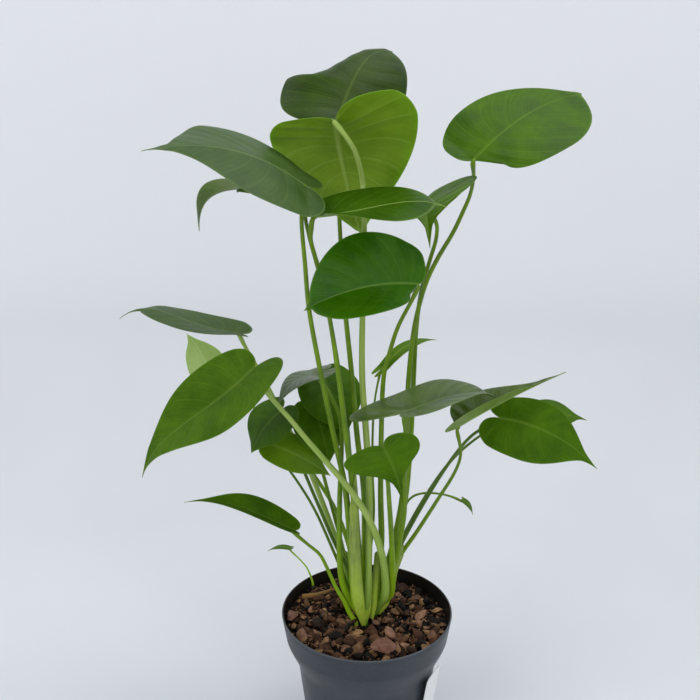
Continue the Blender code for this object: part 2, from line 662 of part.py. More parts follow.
def build_root():
    """A dry aerial root that lies across the mix behind the seedlings."""
    start = Vector((*ROOT_ENDS[0], ROOT_HEIGHT))
    end = Vector((*ROOT_ENDS[1], ROOT_HEIGHT))
    along = (end - start).normalized()
    side = along.cross(Vector((0.0, 0.0, 1.0)))
    rings = []
    for k in range(ROOT_STEPS + 1):
        share = k / ROOT_STEPS
        middle = start.lerp(end, share) + side * (ROOT_BEND * math.sin(4.0 * share))
        radius = ROOT_RADIUS * (1.0 - ROOT_TAPER * share)
        ring = []
        for i in range(ROOT_SIDES):
            angle = 2.0 * math.pi * i / ROOT_SIDES
            upward = Vector((0, 0, radius * math.sin(angle)))
            ring.append(middle + side * (radius * math.cos(angle)) + upward)
        rings.append(ring)
    return loft("dry_root", rings, material("dry_root", (0.30, 0.18, 0.07), 0.7))


def build_label():
    """A plain plastic label, tucked up under the collar so that it leans along the wall."""
    half = LABEL_WIDTH / 2.0
    turn = math.radians(LABEL_TURN)
    out = Vector((math.cos(turn), math.sin(turn), 0.0))
    side = Vector((-math.sin(turn), math.cos(turn), 0.0))
    rings = []
    for height, away in ((LABEL_FOOT, LABEL_FOOT_RADIUS), (LABEL_TOP, LABEL_TOP_RADIUS)):
        ring = []
        for radial, across in ((0, -half), (LABEL_THICKNESS, -half), (LABEL_THICKNESS, half), (0, half)):
            spot = out * (away + radial) + side * across
            ring.append((spot.x, spot.y, height))
        rings.append(ring)
    return loft("care_label", rings, material("label_plastic", (0.85, 0.85, 0.84), 0.4))


def main():
    """Build every piece."""
    clear_scene()
    build_pot()
    build_soil()
    for crown in CROWNS:
        build_crown(crown)
    for leaf in LEAVES:
        build_blade(leaf)
    for leaf, stalk in zip(LEAVES, STALKS):
        build_stalk(leaf, stalk)
    for seed, chip in enumerate(CHIPS):
        build_chip(chip, seed)
    build_root()
    build_label()


main()
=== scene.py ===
"""The looks of a young potted monstera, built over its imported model.

A plain nursery pot holds coarse bark mix and a clump of seedlings. Each sub-assembly is a class
that holds its own sizes: the pot, the mix, the loose bark, the dry root, the label, the crowns,
the sheaths, the stalks and the blades. Tables and sizes are in millimetres and degrees; meshes
are in metres. The frame's +Z is up and -Y is the front.
"""

import logging
import math
import random
from dataclasses import dataclass, field, replace
from enum import Enum
from typing import Callable, Sequence

import bmesh
import bpy
import numpy as np
from mathutils import Matrix, Vector, noise


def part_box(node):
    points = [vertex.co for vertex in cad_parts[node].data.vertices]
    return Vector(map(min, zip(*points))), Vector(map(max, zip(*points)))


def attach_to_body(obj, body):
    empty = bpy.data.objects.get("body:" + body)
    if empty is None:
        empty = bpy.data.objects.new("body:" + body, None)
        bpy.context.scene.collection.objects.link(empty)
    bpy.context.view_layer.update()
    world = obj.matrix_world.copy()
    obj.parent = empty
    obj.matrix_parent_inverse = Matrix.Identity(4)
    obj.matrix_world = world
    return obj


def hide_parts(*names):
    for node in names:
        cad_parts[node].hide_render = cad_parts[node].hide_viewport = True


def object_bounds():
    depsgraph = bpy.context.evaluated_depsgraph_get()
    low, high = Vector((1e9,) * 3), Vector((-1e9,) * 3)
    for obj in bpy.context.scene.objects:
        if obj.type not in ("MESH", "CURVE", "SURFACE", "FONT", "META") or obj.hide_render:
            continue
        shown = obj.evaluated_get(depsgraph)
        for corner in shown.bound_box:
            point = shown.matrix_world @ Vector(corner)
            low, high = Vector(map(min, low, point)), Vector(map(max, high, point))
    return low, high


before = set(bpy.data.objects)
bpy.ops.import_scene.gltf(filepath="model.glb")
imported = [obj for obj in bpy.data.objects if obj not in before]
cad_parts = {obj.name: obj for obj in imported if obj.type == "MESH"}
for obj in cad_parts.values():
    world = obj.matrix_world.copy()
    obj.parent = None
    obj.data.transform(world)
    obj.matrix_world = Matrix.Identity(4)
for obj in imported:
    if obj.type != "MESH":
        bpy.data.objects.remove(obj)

CAD_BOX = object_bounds()

MM = 0.001
UP = np.array((0.0, 0.0, 1.0))
LOG = logging.getLogger("monstera")

Triple = tuple[float, float, float]


# --- Colours and node wiring ------------------------------------------------------------------


def paint(colour: Triple) -> tuple[float, float, float, float]:
    """Turn a display colour into the linear colour that shaders take.

    Args:
        colour: Display red, green and blue, 0 to 255.

    Returns:
        Linear red, green and blue, and an alpha of 1.
    """
    parts = []
    for value in colour:
        share = value / 255.0
        parts.append(share / 12.92 if share <= 0.04045 else ((share + 0.055) / 1.055) ** 2.4)
    return (*parts, 1.0)


class Graph:
    """A node tree that is being wired, either a material's or a group's."""

    def __init__(self, tree: bpy.types.NodeTree) -> None:
        """Wrap a tree.

        Args:
            tree: The tree that new nodes go into.
        """
        self.tree = tree

    def add(self, kind: str, inputs: dict | None = None, **settings: object) -> bpy.types.Node:
        """Add a node.

        Args:
            kind: The node's Blender type.
            inputs: Socket names or numbers, with a value or a socket to link for each.
            settings: Properties of the node itself.

        Returns:
            The new node.
        """
        node = self.tree.nodes.new(kind)
        for name, value in settings.items():
            setattr(node, name, value)
        for name, value in (inputs or {}).items():
            self.feed(node.inputs[name], value)
        return node

    def feed(self, socket: bpy.types.NodeSocket, value: object) -> None:
        """Link a socket into another one, or set a plain value on it.

        Args:
            socket: The socket that takes the value.
            value: A socket to link, or the plain value.
        """
        if isinstance(value, bpy.types.NodeSocket):
            self.tree.links.new(value, socket)
        else:
            socket.default_value = value

    def math(self, operation: str, first: object, second: object = 0.0) -> bpy.types.NodeSocket:
        """Add a Math node and return its result."""
        return self.add("ShaderNodeMath", {0: first, 1: second}, operation=operation).outputs[0]

    def plus(self, base: object, value: object, factor: object) -> bpy.types.NodeSocket:
        """Multiply a value by a factor and add it to another one."""
        inputs = {0: value, 1: factor, 2: base}
        return self.add("ShaderNodeMath", inputs, operation="MULTIPLY_ADD").outputs[0]

    def spread(self, value: object, low: object, high: object, to_low: object = 0.0,
               to_high: object = 1.0) -> bpy.types.NodeSocket:
        """Map a range smoothly onto another one.

        Args:
            value: The value to map.
            low: Where the mapping begins.
            high: Where it ends.
            to_low: The result at the beginning.
            to_high: The result at the end.

        Returns:
            The mapped value.
        """
        node = self.add(
            "ShaderNodeMapRange",
            {"Value": value, "From Min": low, "From Max": high, "To Min": to_low,
             "To Max": to_high},
            interpolation_type="SMOOTHSTEP",
        )
        return node.outputs[0]

    def blend(self, share: object, first: object, second: object) -> bpy.types.NodeSocket:
        """Mix two colours.

        Args:
            share: How much of the second colour goes in.
            first: The first colour: a socket, or a display colour.
            second: The second colour, given the same way.

        Returns:
            The mixture.
        """
        first, second = (paint(c) if isinstance(c, tuple) else c for c in (first, second))
        node = self.add("ShaderNodeMix", {0: share, 6: first, 7: second}, data_type="RGBA")
        return node.outputs[2]

    def tint(self, colour: object, mask: object, strength: float,
             other: Triple) -> bpy.types.NodeSocket:
        """Blend a colour towards a display colour where a mask is high."""
        return self.blend(self.math("MULTIPLY", mask, strength), colour, other)

    def dress(self, shader: bpy.types.Node, **inputs: object) -> None:
        """Feed a shader's inputs, named with underscores for their spaces."""
        for name, value in inputs.items():
            self.feed(shader.inputs[name.replace("_", " ")], value)

    def value(self, name: str) -> bpy.types.NodeSocket:
        """Read a value that the mesh carries at its points."""
        return self.add("ShaderNodeAttribute", attribute_name=name).outputs["Fac"]

    def place(self) -> bpy.types.NodeSocket:
        """Read the place on the surface, in metres."""
        return self.add("ShaderNodeTexCoord").outputs["Object"]

    def height(self) -> bpy.types.NodeSocket:
        """Read how high the place on the surface is, in metres."""
        return self.add("ShaderNodeSeparateXYZ", {0: self.place()}).outputs[2]

    def join(self, x: object, y: object, z: object = 0.0) -> bpy.types.NodeSocket:
        """Make a vector from three values."""
        return self.add("ShaderNodeCombineXYZ", {0: x, 1: y, 2: z}).outputs[0]

    def noise(self, vector: object, scale: object, detail: float = 3.0, rough: float = 0.55,
              twist: float = 0.0) -> bpy.types.NodeSocket:
        """Sample cloudy noise.

        Args:
            vector: Where to sample.
            scale: How many features fit into one unit.
            detail: How many finer layers are added.
            rough: How strong the finer layers are.
            twist: How far the pattern is distorted.

        Returns:
            A value of about 0.3 to 0.7.
        """
        node = self.add(
            "ShaderNodeTexNoise",
            {"Vector": vector, "Scale": scale, "Detail": detail, "Roughness": rough,
             "Distortion": twist},
        )
        return node.outputs[0]

    def bump(self, height: object, distance: float) -> bpy.types.NodeSocket:
        """Turn a height into a surface normal, with its full depth in metres."""
        inputs = {"Height": height, "Distance": distance, "Strength": 1.0}
        return self.add("ShaderNodeBump", inputs).outputs[0]


def make_group(name: str, inputs: dict[str, float], outputs: Sequence[str],
               wire: Callable[[Graph, dict], dict]) -> bpy.types.NodeTree:
    """Make a shader node group whose sockets are all plain values.

    Args:
        name: The group's name.
        inputs: Names and defaults of its inputs.
        outputs: Names of its outputs.
        wire: Takes the graph and the input sockets by name, and returns the output sockets.

    Returns:
        The group.
    """
    tree = bpy.data.node_groups.new(name, "ShaderNodeTree")
    for label, default in inputs.items():
        made = tree.interface.new_socket(label, in_out="INPUT", socket_type="NodeSocketFloat")
        made.default_value = default
    for label in outputs:
        tree.interface.new_socket(label, in_out="OUTPUT", socket_type="NodeSocketFloat")
    graph = Graph(tree)
    taken = graph.add("NodeGroupInput").outputs
    given = graph.add("NodeGroupOutput").inputs
    results = wire(graph, {label: taken[label] for label in inputs})
    for label, socket in results.items():
        tree.links.new(socket, given[label])
    return tree


class Effects:
    """The node groups that several finishes share, each made once.

    Distances from a blade's rib and margin are in millimetres.
    """

    RIB_AT_TIP = 0.25
    RIB_CORE = 0.35
    VEINS_CLEAR_MARGIN = (0.5, 6.0)
    STREAKS_PER_VEIN = 9.0
    STREAK_DRIFT = 0.02
    MARGIN_EDGE = (0.15, 0.9)
    CELLS_PER_LAYER = 1.4
    CELL_HEIGHT = 0.35

    def __init__(self) -> None:
        """Make every group."""
        self.mottle = make_group(
            "Mottle", {"Scale": 60.0, "Softness": 0.2}, ("Value",), self._mottle
        )
        self.veins = make_group(
            "Leaf veins",
            {"Vein Width": 0.1, "Rib Width": 1.6},
            ("Midrib", "Laterals", "Streaks", "Margin"),
            self._veins,
        )
        self.fibres = make_group(
            "Fibre streaks", {"Around": 16.0, "Along": 0.03}, ("Value",), self._fibres
        )
        self.grain = make_group("Moulded grain", {"Scale": 2500.0}, ("Height",), self._grain)
        self.bark = make_group("Bark layers", {"Scale": 260.0}, ("Value", "Height"), self._bark)

    @staticmethod
    def _mottle(graph: Graph, taken: dict) -> dict:
        """Soft uneven patches.

        Args:
            graph: The group's graph.
            taken: Its input sockets by name.

        Returns:
            Its output sockets by name.
        """
        cloud = graph.noise(graph.place(), taken["Scale"], detail=4.0)
        low = graph.math("SUBTRACT", 0.5, taken["Softness"])
        high = graph.math("ADD", 0.5, taken["Softness"])
        return {"Value": graph.spread(cloud, low, high)}

    def _veins(self, graph: Graph, taken: dict) -> dict:
        """The midrib, the side veins, the fine lines between them, and the margin.

        Args:
            graph: The group's graph.
            taken: Its input sockets by name.

        Returns:
            Its output sockets by name.
        """
        rib, rim, vein = (graph.value(name) for name in ("rib", "rim", "vein"))
        taper = graph.spread(graph.value("along"), 0.0, 1.0, to_low=1.0, to_high=self.RIB_AT_TIP)
        width = graph.math("MULTIPLY", taken["Rib Width"], taper)
        core = graph.math("MULTIPLY", width, self.RIB_CORE)
        away = graph.math("PINGPONG", vein, 0.5)
        lateral = graph.spread(away, 0.0, taken["Vein Width"], to_low=1.0, to_high=0.0)
        fade = graph.spread(rim, *self.VEINS_CLEAR_MARGIN)
        along_vein = graph.math("MULTIPLY", vein, self.STREAKS_PER_VEIN)
        across_blade = graph.math("MULTIPLY", rib, self.STREAK_DRIFT)
        lines = graph.noise(graph.join(along_vein, across_blade), 1.0)
        return {
            "Midrib": graph.spread(rib, core, width, to_low=1.0, to_high=0.0),
            "Laterals": graph.math("MULTIPLY", lateral, fade),
            "Streaks": graph.spread(lines, 0.3, 0.7),
            "Margin": graph.spread(rim, *self.MARGIN_EDGE, to_low=1.0, to_high=0.0),
        }

    @staticmethod
    def _fibres(graph: Graph, taken: dict) -> dict:
        """Streaks that run lengthwise on a stalk, sheath or root.

        Args:
            graph: The group's graph.
            taken: Its input sockets by name.

        Returns:
            Its output sockets by name.
        """
        around = graph.math("MULTIPLY", graph.value("girth"), taken["Around"])
        along = graph.math("MULTIPLY", graph.value("run"), taken["Along"])
        lines = graph.noise(graph.join(around, along), 1.0)
        return {"Value": graph.spread(lines, 0.32, 0.68)}

    @staticmethod
    def _grain(graph: Graph, taken: dict) -> dict:
        """The fine orange peel of moulded plastic."""
        return {"Height": graph.noise(graph.place(), taken["Scale"], detail=2.0)}

    def _bark(self, graph: Graph, taken: dict) -> dict:
        """Cracked and layered bark: a tone and a height.

        Args:
            graph: The group's graph.
            taken: Its input sockets by name.

        Returns:
            Its output sockets by name.
        """
        place = graph.place()
        layers = graph.noise(place, taken["Scale"], detail=6.0, rough=0.65, twist=0.6)
        cell_scale = graph.math("MULTIPLY", taken["Scale"], self.CELLS_PER_LAYER)
        cells = graph.add("ShaderNodeTexVoronoi", {"Vector": place, "Scale": cell_scale})
        height = graph.plus(layers, cells.outputs["Distance"], self.CELL_HEIGHT)
        return {"Value": graph.spread(layers, 0.34, 0.68), "Height": height}


def new_material(name: str) -> tuple[bpy.types.Material, Graph, bpy.types.Node]:
    """Make a material with a bare Principled shader.

    Args:
        name: The material's name.

    Returns:
        The material, its graph and its shader node.
    """
    made = bpy.data.materials.new(name)
    made.use_nodes = True
    return made, Graph(made.node_tree), made.node_tree.nodes["Principled BSDF"]


def use_group(graph: Graph, group: bpy.types.NodeTree, **values: float) -> dict:
    """Place a shared effect in a material.

    Args:
        graph: The material's graph.
        group: The effect's node group.
        values: Its inputs, with underscores for the spaces in their names.

    Returns:
        The effect's output sockets by name.
    """
    node = graph.add("ShaderNodeGroup", node_tree=group)
    for name, value in values.items():
        node.inputs[name.replace("_", " ")].default_value = value
    return {socket.name: socket for socket in node.outputs}


# --- Finishes ---------------------------------------------------------------------------------


@dataclass(frozen=True)
class LeafFinish:
    """A blade's skin: two greens that mottle into each other, its veins and its gloss."""

    name: str
    deep: Triple
    light: Triple
    vein: Triple
    vein_share: float = 0.1
    rib_share: float = 0.35
    margin_share: float = 0.3
    streak_share: float = 0.3
    patch_share: float = 0.65
    fleck_share: float = 0.2
    rough: float = 0.42
    rib_width: float = 1.6
    relief: float = 0.00006
    glow: float = 0.1
    shine: float = 0.22

    def make(self, effects: Effects) -> bpy.types.Material:
        """Build the finish.

        Args:
            effects: The shared node groups.

        Returns:
            Its material.
        """
        made, graph, shader = new_material(self.name)
        mottle = use_group(graph, effects.mottle, Scale=45.0, Softness=0.22)["Value"]
        flecks = use_group(graph, effects.mottle, Scale=420.0, Softness=0.3)["Value"]
        veins = use_group(graph, effects.veins, Vein_Width=0.07, Rib_Width=self.rib_width)
        lightness = graph.math("MULTIPLY", mottle, self.patch_share)
        lightness = graph.plus(lightness, flecks, self.fleck_share)
        lightness = graph.plus(lightness, veins["Streaks"], self.streak_share)
        colour = graph.blend(lightness, self.deep, self.light)
        colour = graph.tint(colour, veins["Laterals"], self.vein_share, self.vein)
        colour = graph.tint(colour, veins["Midrib"], self.rib_share, self.vein)
        colour = graph.tint(colour, veins["Margin"], self.margin_share, self.vein)
        relief = graph.plus(graph.math("MULTIPLY", veins["Streaks"], 0.7), flecks, 0.5)
        graph.dress(
            shader,
            Base_Color=colour,
            Roughness=graph.spread(mottle, 0.0, 1.0, self.rough - 0.05, self.rough + 0.07),
            Normal=graph.bump(relief, self.relief),
            Specular_IOR_Level=self.shine,
            Subsurface_Weight=self.glow,
            Subsurface_Radius=(0.6, 1.0, 0.2),
            Subsurface_Scale=0.001,
        )
        return made


@dataclass(frozen=True)
class StalkFinish:
    """Stalks, sheaths and crowns: streaked green that pales towards the foot, partly their own
    colour and partly painted light.
    """

    name: str
    foot: Triple
    top: Triple
    streak: Triple
    pale_below: float = 90.0
    rough: float = 0.42
    streak_share: float = 0.55
    mottle_share: float = 0.25
    relief: float = 0.00012
    shine: float = 0.3
    glow: float = 0.15

    def make(self, effects: Effects) -> bpy.types.Material:
        """Build the finish.

        Args:
            effects: The shared node groups.

        Returns:
            Its material.
        """
        made, graph, shader = new_material(self.name)
        fibres = use_group(graph, effects.fibres, Around=14.0, Along=0.03)["Value"]
        mottle = use_group(graph, effects.mottle, Scale=70.0, Softness=0.2)["Value"]
        rise = graph.spread(graph.value("run"), 0.0, self.pale_below)
        colour = graph.blend(rise, self.foot, self.top)
        colour = graph.tint(colour, fibres, self.streak_share, self.streak)
        colour = graph.tint(colour, mottle, self.mottle_share, self.foot)
        graph.dress(
            shader,
            Base_Color=colour,
            Roughness=graph.spread(mottle, 0.0, 1.0, self.rough - 0.05, self.rough + 0.08),
            Normal=graph.bump(fibres, self.relief),
            Specular_IOR_Level=self.shine,
            Subsurface_Weight=self.glow,
            Subsurface_Radius=(0.8, 1.0, 0.3),
            Subsurface_Scale=0.0015,
        )
        return made


@dataclass(frozen=True)
class PotFinish:
    """Satin moulded plastic, lighter at the rim and dusty in places."""

    name: str
    colour: Triple
    dusty: Triple
    rim_height: float
    rim_depth: float = 1.4
    dust_share: float = 0.16
    speck_share: float = 0.05
    rim_pale_share: float = 0.3
    rough: float = 0.4
    relief: float = 0.00003
    shine: float = 0.35

    def make(self, effects: Effects) -> bpy.types.Material:
        """Build the finish.

        Args:
            effects: The shared node groups.

        Returns:
            Its material.
        """
        made, graph, shader = new_material(self.name)
        dust = use_group(graph, effects.mottle, Scale=28.0, Softness=0.16)["Value"]
        speck = use_group(graph, effects.mottle, Scale=600.0, Softness=0.12)["Value"]
        grain = use_group(graph, effects.grain, Scale=2600.0)["Height"]
        rim_foot = (self.rim_height - self.rim_depth) * MM
        rim = graph.spread(graph.height(), rim_foot, self.rim_height * MM)
        share = graph.math("MULTIPLY", dust, self.dust_share)
        share = graph.plus(share, speck, self.speck_share)
        # The rim's top band is blended towards the paler colour.
        share = graph.plus(share, rim, self.rim_pale_share)
        graph.dress(
            shader,
            Base_Color=graph.blend(share, self.colour, self.dusty),
            Roughness=graph.spread(dust, 0.0, 1.0, self.rough - 0.04, self.rough + 0.1),
            Normal=graph.bump(grain, self.relief),
            Specular_IOR_Level=self.shine,
        )
        return made


@dataclass(frozen=True)
class BarkFinish:
    """Composted bark: each piece has its own tone, from nearly black to ochre, with painted shade
    in its low places.
    """

    name: str
    dark: Triple
    middle: Triple
    bright: Triple
    rosy: Triple
    tone: float | None = None
    blush: float | None = None
    shade_share: float = 0.5
    relief: float = 0.0006
    shine: float = 0.3

    def make(self, effects: Effects) -> bpy.types.Material:
        """Build the finish.

        Args:
            effects: The shared node groups.

        Returns:
            Its material.
        """
        made, graph, shader = new_material(self.name)
        layers = use_group(graph, effects.bark, Scale=260.0)
        tone = graph.value("tone") if self.tone is None else self.tone
        blush = graph.value("blush") if self.blush is None else self.blush
        pale = graph.blend(blush, self.bright, self.rosy)
        low = graph.blend(graph.spread(tone, 0.1, 0.6), self.dark, self.middle)
        base = graph.blend(graph.spread(tone, 0.5, 1.0), low, pale)
        # Painted shade: the low places of the layered relief darken towards the dark colour.
        low_shade = graph.math("SUBTRACT", 1.0, layers["Value"])
        graph.dress(
            shader,
            Base_Color=graph.tint(base, low_shade, self.shade_share, self.dark),
            Roughness=graph.spread(layers["Value"], 0.0, 1.0, 0.95, 0.72),
            Normal=graph.bump(layers["Height"], self.relief),
            Specular_IOR_Level=self.shine,
        )
        return made


@dataclass(frozen=True)
class LabelFinish:
    """Blank matt label plastic."""

    name: str
    colour: Triple
    soiled: Triple
    soil_share: float = 0.2
    relief: float = 0.00002

    def make(self, effects: Effects) -> bpy.types.Material:
        """Build the finish.

        Args:
            effects: The shared node groups.

        Returns:
            Its material.
        """
        made, graph, shader = new_material(self.name)
        soil = use_group(graph, effects.mottle, Scale=90.0, Softness=0.14)["Value"]
        grain = use_group(graph, effects.grain, Scale=1800.0)["Height"]
        graph.dress(
            shader,
            Base_Color=graph.tint(self.colour, soil, self.soil_share, self.soiled),
            Roughness=graph.spread(soil, 0.0, 1.0, 0.42, 0.55),
            Normal=graph.bump(grain, self.relief),
        )
        return made


class Age(Enum):
    """How far a blade has ripened, which sets its greens and its gloss; the dull and fresh greens
    also carry painted light.
    """

    DEEP = "deep"
    RIPE = "ripe"
    VEINED = "veined"
    GLOSSY = "glossy"
    GREEN = "green"
    DULL = "dull"
    OLIVE = "olive"
    FRESH = "fresh"
    PALE = "pale"


class Tint(Enum):
    """How green a stalk is: partly its own green, and partly painted light and shade."""

    DARK = "dark"
    PLAIN = "plain"
    PALE = "pale"


UPPER_FACES = {
    Age.DEEP: LeafFinish("leaf_deep", (30, 52, 0), (54, 80, 0), (100, 124, 50), shine=0.16),
    Age.RIPE: LeafFinish("leaf_ripe", (44, 78, 0), (74, 112, 0), (108, 140, 44), shine=0.1),
    Age.VEINED: LeafFinish("leaf_veined", (34, 68, 0), (60, 98, 0), (140, 168, 84),
                           rib_share=0.85, shine=0.1),
    Age.GLOSSY: LeafFinish("leaf_glossy", (34, 84, 0), (60, 112, 0), (120, 156, 60),
                           rib_share=0.6, rough=0.3, shine=0.2),
    Age.GREEN: LeafFinish("leaf_green", (52, 88, 0), (84, 122, 6), (122, 150, 60), shine=0.12),
    # Partly painted sheen: the dull greens are greyed.
    Age.DULL: LeafFinish("leaf_dull_sheen", (48, 76, 26), (73, 98, 46), (122, 148, 84), shine=0.16),
    Age.OLIVE: LeafFinish("leaf_olive", (34, 60, 0), (78, 104, 28), (128, 150, 84),
                          streak_share=0.6, rough=0.36, shine=0.4),
    # Partly painted light: the fresh greens are brighter for blades that hang in shade.
    Age.FRESH: LeafFinish("leaf_fresh_lit", (78, 116, 0), (110, 148, 12), (150, 176, 76)),
    Age.PALE: LeafFinish("leaf_pale", (134, 166, 70), (168, 192, 116), (196, 208, 150)),
}

UNDER_GREEN = LeafFinish("under_green", (94, 122, 40), (120, 146, 66), (150, 174, 100),
                         vein_share=0.14, rib_share=0.6, streak_share=0.25, rough=0.5,
                         rib_width=2.4, glow=0.3)

LOWER_FACES = {
    UNDER_GREEN: (Age.GREEN, Age.DULL, Age.OLIVE),
    replace(UNDER_GREEN, name="under_ripe", deep=(80, 112, 26), light=(108, 138, 48),
            vein=(142, 168, 88)): (Age.DEEP, Age.RIPE, Age.VEINED, Age.GLOSSY),
    # Painted light: the fresh underside is brighter, as if lit through from behind.
    replace(UNDER_GREEN, name="under_fresh_lit", deep=(98, 128, 10), light=(124, 152, 34),
            vein=(160, 184, 92), vein_share=0.25, rib_share=0.45, streak_share=0.3,
            rough=0.44, glow=0.5): (Age.FRESH,),
    replace(UNDER_GREEN, name="under_pale", deep=(150, 178, 88), light=(180, 200, 128),
            vein=(204, 214, 164), vein_share=0.3, rib_share=0.7, glow=0.4): (Age.PALE,),
}

# The lime feet of the stalks are partly painted light.
STALK_GREENS = {
    # The dark tint is partly painted shade, the pale tint partly painted light.
    Tint.DARK: StalkFinish("stalk_dark", (120, 154, 46), (72, 104, 16), (98, 128, 40)),
    Tint.PLAIN: StalkFinish("stalk_plain", (162, 202, 24), (88, 124, 4), (124, 154, 44)),
    Tint.PALE: StalkFinish("stalk_pale", (124, 172, 36), (158, 184, 88), (186, 204, 120)),
}

POT_PLASTIC = PotFinish("pot_plastic", (46, 53, 60), (112, 116, 120), rim_height=108.5)


class Finishes:
    """Every material of the plant and its pot, each made once."""

    def __init__(self, effects: Effects) -> None:
        """Make the materials.

        Args:
            effects: The shared node groups.
        """
        self.blade = {}
        for under, ages in LOWER_FACES.items():
            lower = under.make(effects)
            self.blade.update({age: (UPPER_FACES[age].make(effects), lower) for age in ages})
        self.stalk = {tint: finish.make(effects) for tint, finish in STALK_GREENS.items()}
        # The sheath's bright lime foot is partly a painted highlight.
        self.sheath = StalkFinish("sheath_green", (200, 232, 70), (112, 132, 56), (160, 182, 92),
                                  pale_below=62.0, rough=0.5).make(effects)
        # The crown's dark foot is partly painted shade among the stalks, and its lime top partly
        # painted light.
        self.crown = StalkFinish("crown_green", (78, 132, 0), (158, 200, 40), (52, 98, 0),
                                 pale_below=14.0, rough=0.5).make(effects)
        self.root = StalkFinish("dry_root", (150, 112, 58), (136, 104, 60), (104, 74, 40),
                                pale_below=20.0, rough=0.75).make(effects)
        self.pot = POT_PLASTIC.make(effects)
        # A darker copy of the plastic paints the shade inside the pot.
        self.pot_shaded_inside = replace(
            POT_PLASTIC, name="pot_inside_painted_shade", colour=(22, 20, 19), dusty=(58, 48, 40)
        ).make(effects)
        self.mix = BarkFinish("bark_mix", (12, 7, 4), (96, 62, 42), (190, 148, 100),
                              (170, 124, 104)).make(effects)
        self.flake = BarkFinish("bark_flake", (52, 32, 22), (140, 98, 82), (168, 130, 108),
                                (156, 114, 98), tone=0.62, blush=0.5).make(effects)
        self.label = LabelFinish("label_plastic", (250, 251, 251), (234, 234, 230)).make(effects)


# --- Meshes -----------------------------------------------------------------------------------


class Shell:
    """A mesh that is being gathered from grids of points, in millimetres."""

    def __init__(self, *names: str) -> None:
        """Start an empty shell.

        Args:
            names: The values that its points carry, such as "tone".
        """
        self.points: list[np.ndarray] = []
        self.values: dict[str, list[np.ndarray]] = {name: [] for name in names}
        self.faces: list[list[int]] = []
        self.slots: list[int] = []
        self.count = 0

    def gather(self, points: np.ndarray, **values: object) -> np.ndarray:
        """Add points.

        Args:
            points: The points, in a grid of any shape.
            values: What they carry: one value per point, or numbers that all points share.

        Returns:
            The points' numbers, in the shape of the grid.
        """
        flat = points.reshape(-1, 3)
        self.points.append(flat)
        for name, held in self.values.items():
            held.append(np.broadcast_to(values[name], points.shape[:-1]).reshape(-1))
        index = self.count + np.arange(len(flat)).reshape(points.shape[:-1])
        self.count += len(flat)
        return index

    def cover(self, index: np.ndarray, flip: bool = False, slot: int = 0) -> None:
        """Lay quads over a grid, and triangles where corners meet.

        Args:
            index: The numbers of the grid's points.
            flip: Whether the faces look the other way.
            slot: The number of their finish.
        """
        for low, high in zip(index, index[1:]):
            for corners in zip(low, low[1:], high[1:], high):
                loop = [int(c) for c in dict.fromkeys(corners)]
                if len(loop) > 2:
                    self.faces.append(loop[::-1] if flip else loop)
                    self.slots.append(slot)

    def block(self, points: np.ndarray, faces: Sequence[Sequence[int]], **values: float) -> None:
        """Add a closed piece whose faces are known.

        Args:
            points: Its points.
            faces: The numbers of each face's points within the piece.
            values: What its points carry.
        """
        index = self.gather(points, **values)
        self.faces += [[int(index[i]) for i in face] for face in faces]
        self.slots += [0] * len(faces)

    def tube(self, rings: np.ndarray, slot: int = 0, **values: object) -> None:
        """Add a closed tube through rings of points, with its two ends capped.

        Args:
            rings: Points in the shape (rings, points in a ring, 3).
            slot: The number of its finish.
            values: What the points carry: one value per point, or numbers that all share.
        """
        index = self.gather(rings, **values)
        ends = np.array((rings[0].mean(0), rings[-1].mean(0)))
        full = {n: np.broadcast_to(v, rings.shape[:-1]) for n, v in values.items()}
        tips = self.gather(ends, **{n: (v[0].mean(), v[-1].mean()) for n, v in full.items()})
        width = index.shape[1]
        index = np.vstack([np.full(width, tips[0]), index, np.full(width, tips[1])])
        self.cover(np.hstack([index, index[:, :1]]), slot=slot)

    def piece(self, name: str, finishes: Sequence[bpy.types.Material],
              sharp: float = 50.0) -> bpy.types.Object:
        """Turn the shell into an object.

        Args:
            name: The piece's name.
            finishes: Its materials, by slot number.
            sharp: Edges that bend more than this, in degrees, stay sharp.

        Returns:
            The object, linked into the scene.
        """
        points = np.concatenate(self.points) * MM
        used = np.unique(np.concatenate([np.array(f) for f in self.faces]))
        place = np.full(len(points), -1)
        place[used] = np.arange(len(used))
        mesh = bpy.data.meshes.new(name)
        faces = [[int(place[i]) for i in face] for face in self.faces]
        mesh.from_pydata(points[used].tolist(), [], faces)
        mesh.polygons.foreach_set("material_index", self.slots)
        for label, held in self.values.items():
            layer = mesh.attributes.new(label, "FLOAT", "POINT")
            layer.data.foreach_set("value", np.concatenate(held)[used].astype(np.float32))
        for finish in finishes:
            mesh.materials.append(finish)
        mesh.shade_smooth()
        mesh.set_sharp_from_angle(angle=math.radians(sharp))
        mesh.update()
        made = bpy.data.objects.new(name, mesh)
        bpy.context.scene.collection.objects.link(made)
        return made


def settle(piece: bpy.types.Object, slot: str, *nodes: str) -> None:
    """Fix a piece to the frame and report it.

    Args:
        piece: The piece, in place.
        slot: The record's material slot that it is finished in. Not used.
        nodes: The CAD nodes that it stands for.
    """
    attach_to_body(piece, "root")
    if nodes:
        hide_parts(*nodes)
    LOG.info("%s: %d faces, in for %s", piece.name, len(piece.data.polygons), nodes or "nothing")


def bezier(points: Sequence[Sequence[float]], share: float) -> np.ndarray:
    """Find a point on a cubic Bezier arc.

    Args:
        points: The arc's two ends, with its two handles between them.
        share: How far along the arc, 0 to 1.

    Returns:
        The point.
    """
    a, b, c, d = (np.array(p, float) for p in points)
    rest = 1.0 - share
    return rest**3 * a + 3 * rest**2 * share * b + 3 * rest * share**2 * c + share**3 * d


